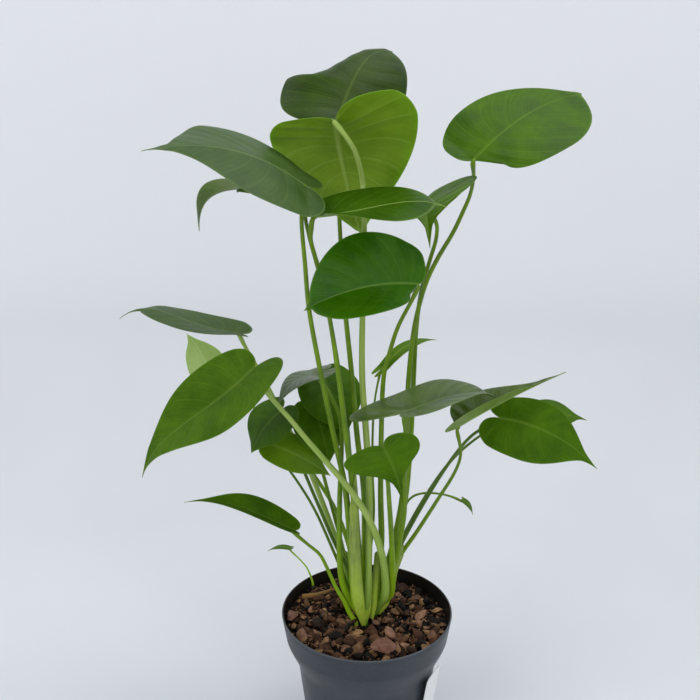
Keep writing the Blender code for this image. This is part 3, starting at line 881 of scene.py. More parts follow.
def smooth_route(points: Sequence[Sequence[float]], steps: int) -> np.ndarray:
    """Points along a Catmull-Rom curve through the way points.

    Args:
        points: The way points.
        steps: How many stretches each leg is split into.

    Returns:
        The curve's points.
    """
    spots = [np.array(p, float) for p in points]
    padded = [spots[0] * 2 - spots[1]] + spots + [spots[-1] * 2 - spots[-2]]
    route = []
    for a, b, c, d in zip(padded, padded[1:], padded[2:], padded[3:]):
        for step in range(steps):
            t = step / steps
            route.append(0.5 * (2 * b + (c - a) * t + (2 * a - 5 * b + 4 * c - d) * t * t
                                + (3 * b - a - 3 * c + d) * t**3))
    route.append(spots[-1])
    return np.array(route)


def unit(vectors: np.ndarray) -> np.ndarray:
    """The vectors at length 1."""
    length = np.linalg.norm(vectors, axis=-1, keepdims=True)
    return vectors / np.maximum(length, 1e-9)


def lengths(route: np.ndarray) -> np.ndarray:
    """How far along the route each of its points lies."""
    return np.concatenate([[0.0], np.cumsum(np.linalg.norm(np.diff(route, axis=0), axis=1))])


def ripple(x: float, y: float, z: float) -> float:
    """Smooth noise from -1 to 1."""
    return noise.noise(Vector((x, y, z)))


def wrinkles(angles: np.ndarray, height: float) -> np.ndarray:
    """Smooth noise from -1 to 1 round a ring; rings at nearby heights have nearly the same."""
    return np.array([ripple(math.cos(a) * 2, math.sin(a) * 2, height) for a in angles])


def around(sides: int) -> np.ndarray:
    """Evenly spaced angles of a full turn."""
    return 2 * math.pi * np.arange(sides) / sides


def circle(radius: float, height: float, sides: int) -> list[Triple]:
    """Points of a level circle about the pot's axis."""
    return [(radius * math.cos(a), radius * math.sin(a), height) for a in around(sides)]


# --- Pot --------------------------------------------------------------------------------------


@dataclass
class Pot:
    """The nursery pot: a thin moulded shell with a soft stacking shoulder and drainage holes."""

    height: float = 108.5
    rim_radius: float = 60.5
    wall: float = 1.2
    floor: float = 2.0
    shoulder_top: tuple[float, float] = (90.0, 57.6)
    shoulder_foot: tuple[float, float] = (69.5, 49.3)
    ease: float = 0.3
    base_radius: float = 41.2
    fillet: float = 2.0
    fillet_steps: int = 5
    lip_steps: int = 8
    floor_rings: tuple[float, ...] = (4.0, 14.0)
    wall_rows: tuple[float, ...] = (6.0, 20.0, 40.0, 55.0, *range(60, 94), 98.0, 103.0)
    holes: int = 6
    hole_radius: float = 5.0
    hole_ring: float = 27.0
    hole_sides: int = 32
    sides: int = 144

    def radius(self, height: float) -> float:
        """The wall's outer radius.

        Args:
            height: How high above the pot's foot.

        Returns:
            The radius there.
        """
        foot, foot_radius = self.shoulder_foot
        top, top_radius = self.shoulder_top
        if height <= foot:
            return self.base_radius + height / foot * (foot_radius - self.base_radius)
        if height >= top:
            share = (height - top) / (self.height - top)
            return top_radius + share * (self.rim_radius - top_radius)
        share = (height - foot) / (top - foot)
        share += self.ease * (share * share * (3.0 - 2.0 * share) - share)
        return foot_radius + share * (top_radius - foot_radius)

    def profile(self) -> list[tuple[float, float]]:
        """Draw the turned outline.

        Returns:
            Radii and heights, from the underside's middle over the rim to the floor's middle.
        """
        outline = [(r, 0.0) for r in (*self.floor_rings, self.base_radius - self.fillet)]
        for k in range(1, self.fillet_steps + 1):
            angle = math.pi / 2 * k / self.fillet_steps
            inset = self.fillet * (1.0 - math.sin(angle))
            outline.append((self.base_radius - inset, self.fillet * (1.0 - math.cos(angle))))
        outline += [(self.radius(z), z) for z in self.wall_rows]
        half = self.wall / 2
        middle = self.radius(self.height - half) - half
        for k in range(self.lip_steps + 1):
            angle = math.pi * k / self.lip_steps
            rise = half * math.sin(angle)
            outline.append((middle + half * math.cos(angle), self.height - half + rise))
        outline += [(self.radius(z) - self.wall, z) for z in (*self.wall_rows[::-1], self.floor)]
        outline += [(r, self.floor) for r in self.floor_rings[::-1]]
        return outline

    def drill(self, pot: bpy.types.Object) -> None:
        """Cut the drainage holes.

        Args:
            pot: The turned pot.
        """
        cutters = bmesh.new()
        for k in range(self.holes):
            angle = 2 * math.pi * (k + 0.5) / self.holes
            spot = Vector((math.cos(angle), math.sin(angle), 0.0)) * self.hole_ring * MM
            bmesh.ops.create_cone(
                cutters, cap_ends=True, segments=self.hole_sides, radius1=self.hole_radius * MM,
                radius2=self.hole_radius * MM, depth=4 * self.floor * MM,
                matrix=Matrix.Translation(spot),
            )
        cutter_mesh = bpy.data.meshes.new("drain_cutter")
        cutters.to_mesh(cutter_mesh)
        cutters.free()
        cutter = bpy.data.objects.new("drain_cutter", cutter_mesh)
        bpy.context.scene.collection.objects.link(cutter)
        cut = pot.modifiers.new("drainage", "BOOLEAN")
        cut.object = cutter
        bpy.context.view_layer.update()
        holed = bpy.data.meshes.new_from_object(
            pot.evaluated_get(bpy.context.evaluated_depsgraph_get())
        )
        pot.modifiers.clear()
        pot.data = holed
        bpy.data.objects.remove(cutter)

    def build(self, finishes: Finishes) -> None:
        """Turn the shell, darkened on its inside with painted shade, and cut its drainage holes.

        Args:
            finishes: The materials.
        """
        rings = np.array([circle(r, z, self.sides) for r, z in self.profile()])
        shell = Shell()
        shell.tube(rings)
        lip = 1 + max(range(len(rings)), key=lambda row: rings[row][0][2])
        shell.slots = [int(k // self.sides > lip) for k in range(len(shell.faces))]
        pot = shell.piece("pot_shell", [finishes.pot, finishes.pot_shaded_inside], sharp=35.0)
        self.drill(pot)
        settle(pot, "pot_plastic", "pot")


# --- Bark mix ---------------------------------------------------------------------------------


class Block:
    """The shape of a broken piece of bark: a ball of directions, trimmed by random planes."""

    REACH = 1.25
    GRAZING = 0.05
    PLANE_DEPTHS = (0.62, 1.0)

    def __init__(self, cuts: int) -> None:
        """Prepare the directions.

        Args:
            cuts: How finely the ball is divided.
        """
        ball = bmesh.new()
        bmesh.ops.create_icosphere(ball, subdivisions=cuts, radius=1.0)
        self.ways = np.array([v.co for v in ball.verts])
        self.faces = [[v.index for v in f.verts] for f in ball.faces]
        ball.free()

    def trimmed(self, rng: random.Random, size: Triple, planes: int) -> np.ndarray:
        """Trim the ball and stretch it.

        Args:
            rng: The source of chance.
            size: Its three half sizes.
            planes: How many random planes trim it.

        Returns:
            The points of one broken piece, about the origin.
        """
        reach = np.full(len(self.ways), self.REACH)
        for _ in range(planes):
            way = unit(np.array([rng.gauss(0, 1) for _ in range(3)]))
            facing = np.maximum(self.ways @ way, self.GRAZING)
            reach = np.minimum(reach, rng.uniform(*self.PLANE_DEPTHS) / facing)
        return self.ways * reach[:, None] * np.array(size)


def turned(points: np.ndarray, rng: random.Random, lean: float) -> np.ndarray:
    """Turn a piece by a random heading and a small random lean.

    Args:
        points: The piece's points, about the origin.
        rng: The source of chance.
        lean: How far it leans, as a standard deviation in degrees.

    Returns:
        The turned points.
    """
    lean_x = math.radians(rng.gauss(0, lean))
    lean_y = math.radians(rng.gauss(0, lean))
    spin = rng.uniform(0, 2 * math.pi)
    turn = Matrix.Rotation(lean_x, 3, "X") @ Matrix.Rotation(lean_y, 3, "Y")
    turn = turn @ Matrix.Rotation(spin, 3, "Z")
    return points @ np.array(turn).T


@dataclass
class BarkMix:
    """The potting mix: a dark plug, with chunks, crumbs and fibres heaped on it."""

    pot: Pot
    level: float = 100.5
    sink: float = 2.2
    reach: float = 58.0
    gap: float = 0.4
    clear: Sequence[tuple[float, float, float]] = ()
    chunks: int = 430
    crumbs: int = 2400
    planes: int = 11
    lean: float = 24.0
    breadths: tuple[float, float] = (0.5, 0.85)
    depths: tuple[float, float] = (0.28, 0.6)
    fibres: int = 30
    fibre_steps: int = 8
    fibre_lengths: tuple[float, float] = (4, 12)
    fibre_radii: tuple[float, float] = (0.12, 0.3)
    fibre_lifts: tuple[float, float] = (2.6, 4.2)
    fibre_bend: float = 0.06
    tilt: tuple[float, float] = (-0.02, 0.015)
    heaves: tuple[Triple, ...] = ((1.5, 13.0, 4.0), (0.7, 4.0, 9.0))
    tones: tuple[float, ...] = (0.1, 0.3, 0.45, 0.6, 0.75, 0.92)
    tone_spread: float = 0.06
    plug_rows: tuple[float, ...] = (2.4, 40.0, 62.0, 66.0, 74.0, 82.0, 90.0)
    top_rings: int = 44
    sides: int = 120
    rng: random.Random = field(default_factory=lambda: random.Random(7))

    def surface(self, x: float, y: float) -> float:
        """The top of the plug.

        Args:
            x: The place, across.
            y: The place, to the back.

        Returns:
            How high the plug is there.
        """
        edge = (math.hypot(x, y) / self.reach) ** 8
        slope = self.tilt[0] * x + self.tilt[1] * y
        heave = sum(size * ripple(x / pitch, y / pitch, z) for size, pitch, z in self.heaves)
        return self.level - self.sink + slope + heave - edge

    def free(self, x: float, y: float, margin: float) -> bool:
        """Whether a place is clear of the crowns and inside the pot.

        Args:
            x: The place, across.
            y: The place, to the back.
            margin: How much room is needed round it.

        Returns:
            True where the place is free.
        """
        if math.hypot(x, y) + margin >= self.pot.radius(self.level) - self.pot.wall - 0.5:
            return False
        return all(math.hypot(x - a, y - b) > r + 0.4 * margin for a, b, r in self.clear)

    def spot(self, margin: float) -> tuple[float, float]:
        """Draw places at random until one is free.

        Args:
            margin: How much room is needed round it.

        Returns:
            The place.
        """
        while True:
            angle = self.rng.uniform(0, 2 * math.pi)
            away = self.reach * math.sqrt(self.rng.random())
            x = away * math.cos(angle)
            y = away * math.sin(angle)
            if self.free(x, y, margin):
                return x, y

    def plug(self, finishes: Finishes) -> None:
        """Make the body of the mix, down to the pot's floor.

        Args:
            finishes: The materials.
        """
        rows = [circle(self.pot.radius(z) - self.pot.wall - self.gap, z, self.sides)
                for z in self.plug_rows]
        edge = self.pot.radius(self.level) - self.pot.wall - self.gap
        for k in range(self.top_rings):
            row = circle(edge * (1.0 - k / self.top_rings), 0.0, self.sides)
            rows.append([(x, y, self.surface(x, y)) for x, y, _ in row])
        shell = Shell("tone", "blush")
        # The plug is nearly black: partly the mix's own dark and partly painted shade in the gaps
        # between the pieces.
        shell.tube(np.array(rows), tone=0.08, blush=0.0)
        settle(shell.piece("mix_plug", [finishes.mix], sharp=60.0), "bark_mix", "soil")

    def heap(self, name: str, block: Block, number: int, sizes: tuple[float, float],
             lift: tuple[float, float], finishes: Finishes) -> None:
        """Scatter broken pieces over the plug.

        Args:
            name: The name of the joined pieces.
            block: The shape that they are cut from.
            number: How many there are.
            sizes: The smallest and largest length of a piece.
            lift: The lowest and highest place of a piece above the plug.
            finishes: The materials.
        """
        shell = Shell("tone", "blush")
        for _ in range(number):
            length = sizes[0] + (sizes[1] - sizes[0]) * self.rng.random() ** 1.8
            size = (length / 2, length / 2 * self.rng.uniform(*self.breadths),
                    length / 2 * self.rng.uniform(*self.depths))
            x, y = self.spot(length / 2)
            z = self.surface(x, y) + self.rng.uniform(*lift) + 0.2 * length
            shape = turned(block.trimmed(self.rng, size, self.planes), self.rng, self.lean)
            tone = self.rng.choice(self.tones) + self.rng.gauss(0.0, self.tone_spread)
            shell.block(shape + np.array((x, y, z)), block.faces,
                        tone=min(max(tone, 0.02), 1.0), blush=self.rng.random())
        settle(shell.piece(name, [finishes.mix], sharp=28.0), "bark_mix")

    def strew(self, finishes: Finishes) -> None:
        """Lay dry fibres over the chunks.

        Args:
            finishes: The materials.
        """
        shell = Shell("tone", "blush")
        for _ in range(self.fibres):
            x, y = self.spot(5.0)
            heading = self.rng.uniform(0, 2 * math.pi)
            bend = self.rng.gauss(0, self.fibre_bend)
            length = self.rng.uniform(*self.fibre_lengths)
            radius = self.rng.uniform(*self.fibre_radii)
            z = self.surface(x, y) + self.rng.uniform(*self.fibre_lifts)
            centres = []
            for k in range(self.fibre_steps + 1):
                share = k / self.fibre_steps
                way = heading + bend * share * length
                x += math.cos(way) * length / self.fibre_steps
                y += math.sin(way) * length / self.fibre_steps
                if not self.free(x, y, 0.5):
                    break
                centres.append((x, y, z + 1.2 * ripple(share * 2.0, heading, bend)))
            if len(centres) < 4:
                continue
            rings = round_rings(np.array(centres), np.full(len(centres), radius), 6)
            shell.tube(rings, tone=self.rng.uniform(0.7, 1.0), blush=0.0)
        settle(shell.piece("mix_fibres", [finishes.mix]), "bark_mix")

    def build(self, finishes: Finishes) -> None:
        """Make the plug and everything that lies on it.

        Args:
            finishes: The materials.
        """
        self.plug(finishes)
        self.heap("mix_crumbs", Block(1), self.crumbs, (1.0, 3.4), (0.0, 2.0), finishes)
        self.heap("mix_chunks", Block(3), self.chunks, (3.2, 10.5), (-0.2, 1.8), finishes)
        self.strew(finishes)


@dataclass
class BarkFlake:
    """A large flake of bark that lies on the mix."""

    name: str
    node: str
    turn: float
    seed: int
    cuts: int = 5
    planes: int = 16
    fill: float = 0.98
    grain: float = 0.05
    pits: float = 0.03

    def build(self, finishes: Finishes) -> None:
        """Shape the flake inside its CAD solid's box.

        Args:
            finishes: The materials.
        """
        low, high = (np.array(corner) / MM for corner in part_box(self.node))
        block = Block(self.cuts)
        shape = block.trimmed(random.Random(self.seed), (1.0, 1.0, 1.0), self.planes)
        turn = math.radians(self.turn)
        heading = np.array((math.cos(turn), math.sin(turn), 0.0))
        for k, way in enumerate(block.ways):
            lines = ripple(*(way * (9.0, 9.0, 4.0) + heading * 3.0 * (way @ heading)))
            shape[k] *= 1.0 + self.grain * lines + self.pits * ripple(*(way * 22.0))
        shape /= np.abs(shape).max(axis=0)
        shell = Shell("tone", "blush")
        shell.block(shape * ((high - low) / 2 * self.fill) + (low + high) / 2, block.faces,
                    tone=0.6, blush=0.5)
        settle(shell.piece(self.name, [finishes.flake], sharp=32.0), "bark", self.node)


# --- Round things -----------------------------------------------------------------------------


def carry_frames(route: np.ndarray, wish: np.ndarray) -> tuple[np.ndarray, np.ndarray, np.ndarray]:
    """Frames along a route.

    Args:
        route: The route's points.
        wish: For each point, the way that the section's front should face.

    Returns:
        The tangents, the fronts and the sides, all of length 1 and square to each other.
    """
    tangent = unit(np.gradient(route, axis=0))
    front = wish - tangent * (wish * tangent).sum(axis=1, keepdims=True)
    front = unit(front)
    return tangent, front, np.cross(tangent, front)


def round_rings(route: np.ndarray, radii: np.ndarray, sides: int,
                wish: np.ndarray | None = None,
                section: Callable[[np.ndarray, int], np.ndarray] | None = None) -> np.ndarray:
    """Rings of points round a route.

    Args:
        route: The route's points.
        radii: The radius at each point.
        sides: How many points a ring has.
        wish: The way that each section's front should face; up if left out.
        section: Gives a ring's relative radii from its angles and its number.

    Returns:
        The points of each ring.
    """
    if wish is None:
        wish = np.broadcast_to(UP + (0.01, 0.02, 0.0), route.shape)
    _, front, side = carry_frames(route, wish)
    angles = around(sides)
    rings = []
    for k, centre in enumerate(route):
        reach = radii[k] * (section(angles, k) if section else np.ones(sides))
        rings.append(centre + np.outer(reach * np.cos(angles), front[k])
                     + np.outer(reach * np.sin(angles), side[k]))
    return np.array(rings)


def girth(angles: np.ndarray) -> np.ndarray:
    """How far each angle is from the back, as a share of half a turn."""
    return np.abs(angles / math.pi - 1.0)


def swept(name: str, finish: bpy.types.Material, route: np.ndarray, radii: np.ndarray,
          sides: int, wish: np.ndarray | None,
          section: Callable[[np.ndarray, int], np.ndarray]) -> bpy.types.Object:
    """Sweep a closed round piece, streaked lengthwise, along a route.

    Args:
        name: The piece's name.
        finish: Its material.
        route: The route's points.
        radii: The radius at each point.
        sides: How many points a ring has.
        wish: The way that each section's front should face; up if None.
        section: Gives a ring's relative radii from its angles and its number.

    Returns:
        The object.
    """
    shell = Shell("girth", "run")
    shell.tube(round_rings(route, radii, sides, wish, section), girth=girth(around(sides)),
               run=lengths(route)[:, None])
    return shell.piece(name, [finish])


@dataclass
class DryRoot:
    """A dry aerial root that lies across the mix."""

    ends: tuple[tuple[float, float], tuple[float, float]] = ((-47, 22), (-22, 31))
    height: float = 104.7
    radius: float = 1.9
    taper: float = 0.35
    bend: float = 1.4
    knobs: float = 0.12
    wrinkle: float = 0.07
    rings: int = 40
    sides: int = 18

    def build(self, finishes: Finishes) -> None:
        """Sweep the root and dress it.

        Args:
            finishes: The materials.
        """
        start, end = (np.array((*spot, self.height)) for spot in self.ends)
        side = np.cross(unit(end - start), UP)
        shares = np.linspace(0, 1, self.rings)
        route = start + np.outer(shares, end - start)
        route += np.outer(self.bend * np.sin(4 * shares), side)
        radii = self.radius * (1 - self.taper * shares)
        radii *= 1 + self.knobs * np.array([ripple(s * 9, 2.0, 5.0) for s in shares])

        def wrinkled(angles: np.ndarray, k: int) -> np.ndarray:
            """A section with shallow wrinkles."""
            return 1 + self.wrinkle * wrinkles(angles, k * 0.2)

        root = swept("root_dry", finishes.root, route, radii, self.sides, None, wrinkled)
        settle(root, "dry_root", "dry_root")


@dataclass
class CareLabel:
    """A blank label, tucked up under the pot's shoulder so that it leans along the wall."""

    width: float = 22.0
    turn: float = -28.0
    thickness: float = 0.5
    corner: float = 2.5
    foot: tuple[float, float] = (4.0, 43.0)
    top: tuple[float, float] = (74.0, 53.0)
    bow: float = 0.3
    rows: int = 41
    columns: int = 13

    def build(self, finishes: Finishes) -> None:
        """Cut the label with round corners, bow it a little and dress it.

        Args:
            finishes: The materials.
        """
        turn = math.radians(self.turn)
        out = np.array((math.cos(turn), math.sin(turn), 0.0))
        side = np.array((-math.sin(turn), math.cos(turn), 0.0))
        tall = self.top[0] - self.foot[0]
        rows = []
        for share in np.linspace(0, 1, self.rows):
            near_end = tall * min(share, 1.0 - share)
            reach = max(self.corner - near_end, 0.0)
            half = self.width / 2 - self.corner + math.sqrt(self.corner**2 - reach**2)
            away = self.foot[1] + share * (self.top[1] - self.foot[1]) + self.thickness / 2
            away -= self.bow * math.sin(math.pi * share)
            spot = out * away + UP * (self.foot[0] + share * tall)
            rows.append([spot + side * across for across in np.linspace(-half, half, self.columns)])
        front = np.array(rows) + out * self.thickness / 2
        back = np.array(rows) - out * self.thickness / 2
        shell = Shell()
        shell.tube(np.concatenate([front, back[:, ::-1]], axis=1))
        label = shell.piece("label_blank", [finishes.label], sharp=40.0)
        settle(label, "label_plastic", "care_label")


# --- Seedlings --------------------------------------------------------------------------------


MARGIN_ARCS = ((0.0, 0.14), (0.14, 0.28), (0.42, 0.48), (0.9, 0.1))
"""The start and length of each arc of a blade's margin: lobe, belly, shoulder and drip tip."""


@dataclass(frozen=True)
class Leaf:
    """One blade: where its stalk joins it, where its tip ends, its form and its age."""

    name: str
    attach: Triple
    tip: Triple
    width: float
    age: Age = Age.GREEN
    roll: float = 0.0
    lobe: float = 0.20
    arch: float = 0.08
    bias: float = 1.0
    fold: float = 0.0
    cup: float = 0.0
    twist: float = 0.0
    sweep: float = 0.0
    skew: float = 0.0
    sinus: float = 0.38
    belly: float = 0.30
    full: float = 0.4
    drip: float = 0.08
    oblique: float = 0.0
    neck: float = 0.12
    uneven: float = 0.0
    furl: float = 0.0
    unfold: float = 0.0
    rows: int = 72
    columns: int = 24
    crowding: float = 1.4
    veins: int = 9
    vein_lean: float = 0.12
    rib_pace: float = 1.5
    row_bend: float = 1.25
    lobe_follow: float = 0.35
    furl_from: float = 0.3
    thickness: float = 0.36
    wave: float = 1.7
    quilt: float = 0.42
    groove: float = 0.32
    groove_width: float = 0.9
    ridge: float = 0.95
    ridge_width: float = 1.05

    def edge(self, share: float, side: int) -> np.ndarray:
        """The margin of the flat leaf.

        Args:
            share: 0 at the stalk, round the lobe, to 1 at the tip.
            side: -1 on the left and 1 on the right.

        Returns:
            Across and along, with the half width and the length as units.
        """
        lobe = self.lobe + side * self.skew
        belly = self.belly + side * self.oblique
        full = self.full + 1.5 * side * self.oblique
        sinus = self.sinus
        neck = 1.0 - self.drip
        lobe_pulls = ((0.1 * sinus, -0.6 * lobe), (0.4 * sinus, -lobe))
        if lobe < 0:
            lobe_pulls = ((0.3 * sinus, -0.3 * lobe), (0.65 * sinus, -0.65 * lobe))
        back = sinus + 0.55 * (1.0 - sinus)
        turn = belly - 0.55 * (belly + lobe)
        shoulder = (0.15 + 0.45 * full, neck - 0.22 + 0.2 * full)
        waist = (0.45 * self.neck, neck + 0.4 * self.drip)
        point = (0.15 * self.neck, neck + 0.7 * self.drip)
        # Each arc is its start, its two Bezier handles and its end.
        arcs = (
            ((0, 0), *lobe_pulls, (sinus, -lobe)),
            ((sinus, -lobe), (back, -lobe), (1, turn), (1, belly)),
            ((1, belly), (1, belly + 0.5 * (neck - belly)), shoulder, (self.neck, neck)),
            ((self.neck, neck), waist, point, (0, 1)),
        )
        number = sum(share >= start for start, _ in MARGIN_ARCS[1:])
        start, span = MARGIN_ARCS[number]
        return bezier(arcs[number], (share - start) / span)

    def axes(self) -> tuple[np.ndarray, float, np.ndarray, np.ndarray]:
        """Find the blade's own axes.

        Returns:
            The chord's way and length, the way to the right, and the way out of the upper face.
        """
        chord = np.array(self.tip, float) - np.array(self.attach, float)
        length = float(np.linalg.norm(chord))
        along = chord / length
        face = unit(UP - along * along[2])
        return along, length, np.cross(along, face), face

    def out(self) -> np.ndarray:
        """The way out of the upper face where the stalk joins."""
        _, _, across, face = self.axes()
        roll = math.radians(self.roll)
        return face * math.cos(roll) + across * math.sin(roll)

    def surface(self) -> tuple[np.ndarray, dict[str, np.ndarray]]:
        """The blade's middle surface.

        Returns:
            Its grid of points, and the values at them: along, rib, rim, vein, reach and side.
        """
        along, length, across, face = self.axes()
        half = self.width / 2
        s = np.linspace(0, 1, self.rows + 1)
        t = np.linspace(-1, 1, 2 * self.columns + 1)
        t = np.sign(t) * np.abs(t) ** self.crowding
        edges = np.array([[self.edge(v, side) for side in (-1, 1)] for v in s])
        pick = (t >= 0).astype(int)
        edge_across, edge_along = edges[:, pick, 0], edges[:, pick, 1]
        side = np.where(t >= 0, 1.0, -1.0)[None, :]
        reach = np.abs(t)[None, :] * np.ones((len(s), 1))
        rib = (s**self.rib_pace)[:, None]
        share = rib + (edge_along - rib) * reach**self.row_bend
        half_here = half * (1.0 + side * self.uneven)
        w = edge_across * half_here * reach
        front = np.maximum(share, 0.0)
        bent = front**self.bias
        lift = 4 * self.arch * length
        height = np.where(share > 0, lift * bent * (1 - bent), lift * share * self.lobe_follow)
        shift = 4 * self.sweep * length * front * (1 - front)
        late = np.clip((share - self.furl_from) / (1.0 - self.furl_from), 0.0, 1.0)
        furl = self.furl * late * (side < 0) * w / half
        opening = self.unfold * np.clip(share, 0.0, 1.0)
        tilt = np.radians(self.fold + opening + self.cup * w / self.width - furl)
        roll = np.radians(self.roll + self.twist * share)[..., None]
        right = across * np.cos(roll) - face * np.sin(roll)
        out = face * np.cos(roll) + across * np.sin(roll)
        points = (np.array(self.attach, float) + along * (share * length)[..., None]
                  + across * shift[..., None] + face * height[..., None]
                  + right * (side * w * np.cos(tilt))[..., None]
                  + out * (w * np.sin(tilt))[..., None])
        lean = self.vein_lean * reach**1.3 * np.sin(math.pi * s)[:, None]
        return points, {
            "along": front,
            "rib": w,
            "rim": (1 - reach) * edge_across * half_here,
            "vein": self.veins * (s[:, None] - lean) + 0.5,
            "reach": reach,
            "side": side * np.ones_like(w),
        }

    def relief(self, values: dict[str, np.ndarray]) -> tuple[np.ndarray, np.ndarray]:
        """How far the two faces stand off the middle surface.

        Args:
            values: The values at the surface's points.

        Returns:
            The distances of the upper and of the lower face.
        """
        reach, rib, along, vein = (values[name] for name in ("reach", "rib", "along", "vein"))
        scale = self.width / 80.0
        seed = sum(ord(letter) for letter in self.name) * 0.37
        swell = reach**0.6 * (1 - reach**6)
        quilt = self.quilt * scale * swell * (0.5 - 0.5 * np.cos(2 * math.pi * vein))
        waves = np.vectorize(lambda v, side: ripple(v * 0.42, side * 3.0, seed))
        sway = self.wave * scale * reach**2 * waves(vein, values["side"])
        groove = self.groove * scale * np.exp(-((rib / (self.groove_width * scale)) ** 2))
        ridge = self.ridge * scale * np.exp(-((rib / (self.ridge_width * scale)) ** 2))
        skin = self.thickness / 2 * (1 - 0.45 * reach**8)
        upper = sway + quilt + skin - groove * (1 - along) ** 0.4
        return upper, sway + quilt - skin - ridge * (1 - along) ** 0.7

    def build(self, finishes: Finishes) -> None:
        """Make the blade's closed skin, with its veins and waves, and dress it.

        Args:
            finishes: The materials.
        """
        points, values = self.surface()
        normal = unit(np.cross(np.gradient(points, axis=1), np.gradient(points, axis=0)))
        normal[0] = normal[1, self.columns]
        normal[-1] = normal[-2, self.columns]
        low, high = (np.array(corner) / MM for corner in CAD_BOX)
        shell = Shell("along", "rib", "rim", "vein")
        grids = []
        for offset in self.relief(values):
            skin = np.clip(points + normal * offset[..., None], low, high)
            index = shell.gather(skin, **values)
            index[0, :] = index[0, self.columns]
            index[-1, :] = index[-1, self.columns]
            grids.append(index)
        top, bottom = grids
        shell.cover(top)
        shell.cover(bottom, flip=True, slot=1)
        shell.cover(np.stack([bottom[:, -1], top[:, -1]], axis=1), flip=True)
        shell.cover(np.stack([bottom[:, 0], top[:, 0]], axis=1))
        blade = shell.piece(self.name + "_skin", finishes.blade[self.age], sharp=55.0)
        settle(blade, "leaf", self.name + "_blade")


@dataclass(frozen=True)
class Stalk:
    """One leaf stalk: its way points from the crown to the blade, and its thickness."""

    name: str
    route: tuple[Triple, ...]
    foot_radius: float = 2.4
    top_radius: float = 1.2
    tint: Tint = Tint.PLAIN
    sides: int = 20
    knee_swell: float = 0.35
    knee_length: float = 6.0
    knee_back: float = 7.0
    rooted: float = 7.0
    root_swell: float = 0.3
    socket_share: float = 0.4
    under_blade: float = 0.7
    rib_depth: float = 0.55
    rib_run: float = 3.0
    steps: int = 7
    tail: int = 8
    groove: float = 0.2
    groove_width: float = 0.42
    wing: float = 0.42
    wing_at: float = 0.8
    wing_width: float = 0.26
    wing_end: float = 0.42

    def path(self, leaf: Leaf, crown: "Crown | None") -> np.ndarray:
        """The stalk's route, from inside its crown to its blade's midrib.

        Args:
            leaf: The blade that it carries.
            crown: The crown that it grows from, or None where it leaves the mix by itself.

        Returns:
            The route's points.
        """
        attach = np.array(leaf.attach, float)
        out = leaf.out()
        along = leaf.axes()[0]
        under = attach - out * (self.top_radius + self.under_blade)
        ends = [under + along * 0.4, attach - out * self.rib_depth + along * self.rib_run]
        start = np.array(self.route[0], float)
        root = crown.socket(start) if crown else [start - UP * self.rooted]
        return smooth_route([*root, *self.route, *ends], self.steps)

    def build(self, leaf: Leaf, crown: "Crown | None", finishes: Finishes) -> None:
        """Sweep the grooved stalk and dress it.

        Args:
            leaf: The blade that it carries.
            crown: The crown that it grows from, or None where it leaves the mix by itself.
            finishes: The materials.
        """
        route = self.path(leaf, crown)
        run = lengths(route)
        share = run / run[-1]
        radii = self.foot_radius + share * (self.top_radius - self.foot_radius)
        knee = (run[-1] - run - self.knee_back) / self.knee_length
        radii *= 1.0 + self.knee_swell * np.exp(-(knee**2))
        radii[-self.tail:] *= np.linspace(1.0, 0.5, self.tail)
        if crown:
            rise = np.clip((route[:, 2] - crown.low) / (crown.high - crown.low), 0.0, 1.0)
            radii *= self.socket_share + (1.0 - self.socket_share) * rise
        else:
            radii *= 1.0 + self.root_swell * np.exp(-((run / self.knee_length) ** 2))
        inward = np.array((*CLUMP_CENTRE, 0.0)) - route
        inward[:, 2] = 0.0
        wish = unit(inward) * 0.6 + UP * 0.8
        wing = np.clip(1.0 - share / self.wing_end, 0.0, 1.0)

        def grooved(angles: np.ndarray, k: int) -> np.ndarray:
            """A section with a groove in front and a sheath's wing on each side of it.

            Args:
                angles: The angles of the section's points.
                k: The section's number.

            Returns:
                Their relative radii.
            """
            turn = np.minimum(angles, 2 * math.pi - angles)
            groove = self.groove * np.exp(-((turn / self.groove_width) ** 2))
            ridge = np.exp(-(((turn - self.wing_at) / self.wing_width) ** 2))
            return 1.0 - groove * (1 + wing[k]) + self.wing * wing[k] * ridge

        stalk = swept(self.name + "_petiole", finishes.stalk[self.tint], route, radii,
                      self.sides, wish, grooved)
        settle(stalk, "stalk", self.name + "_stalk")


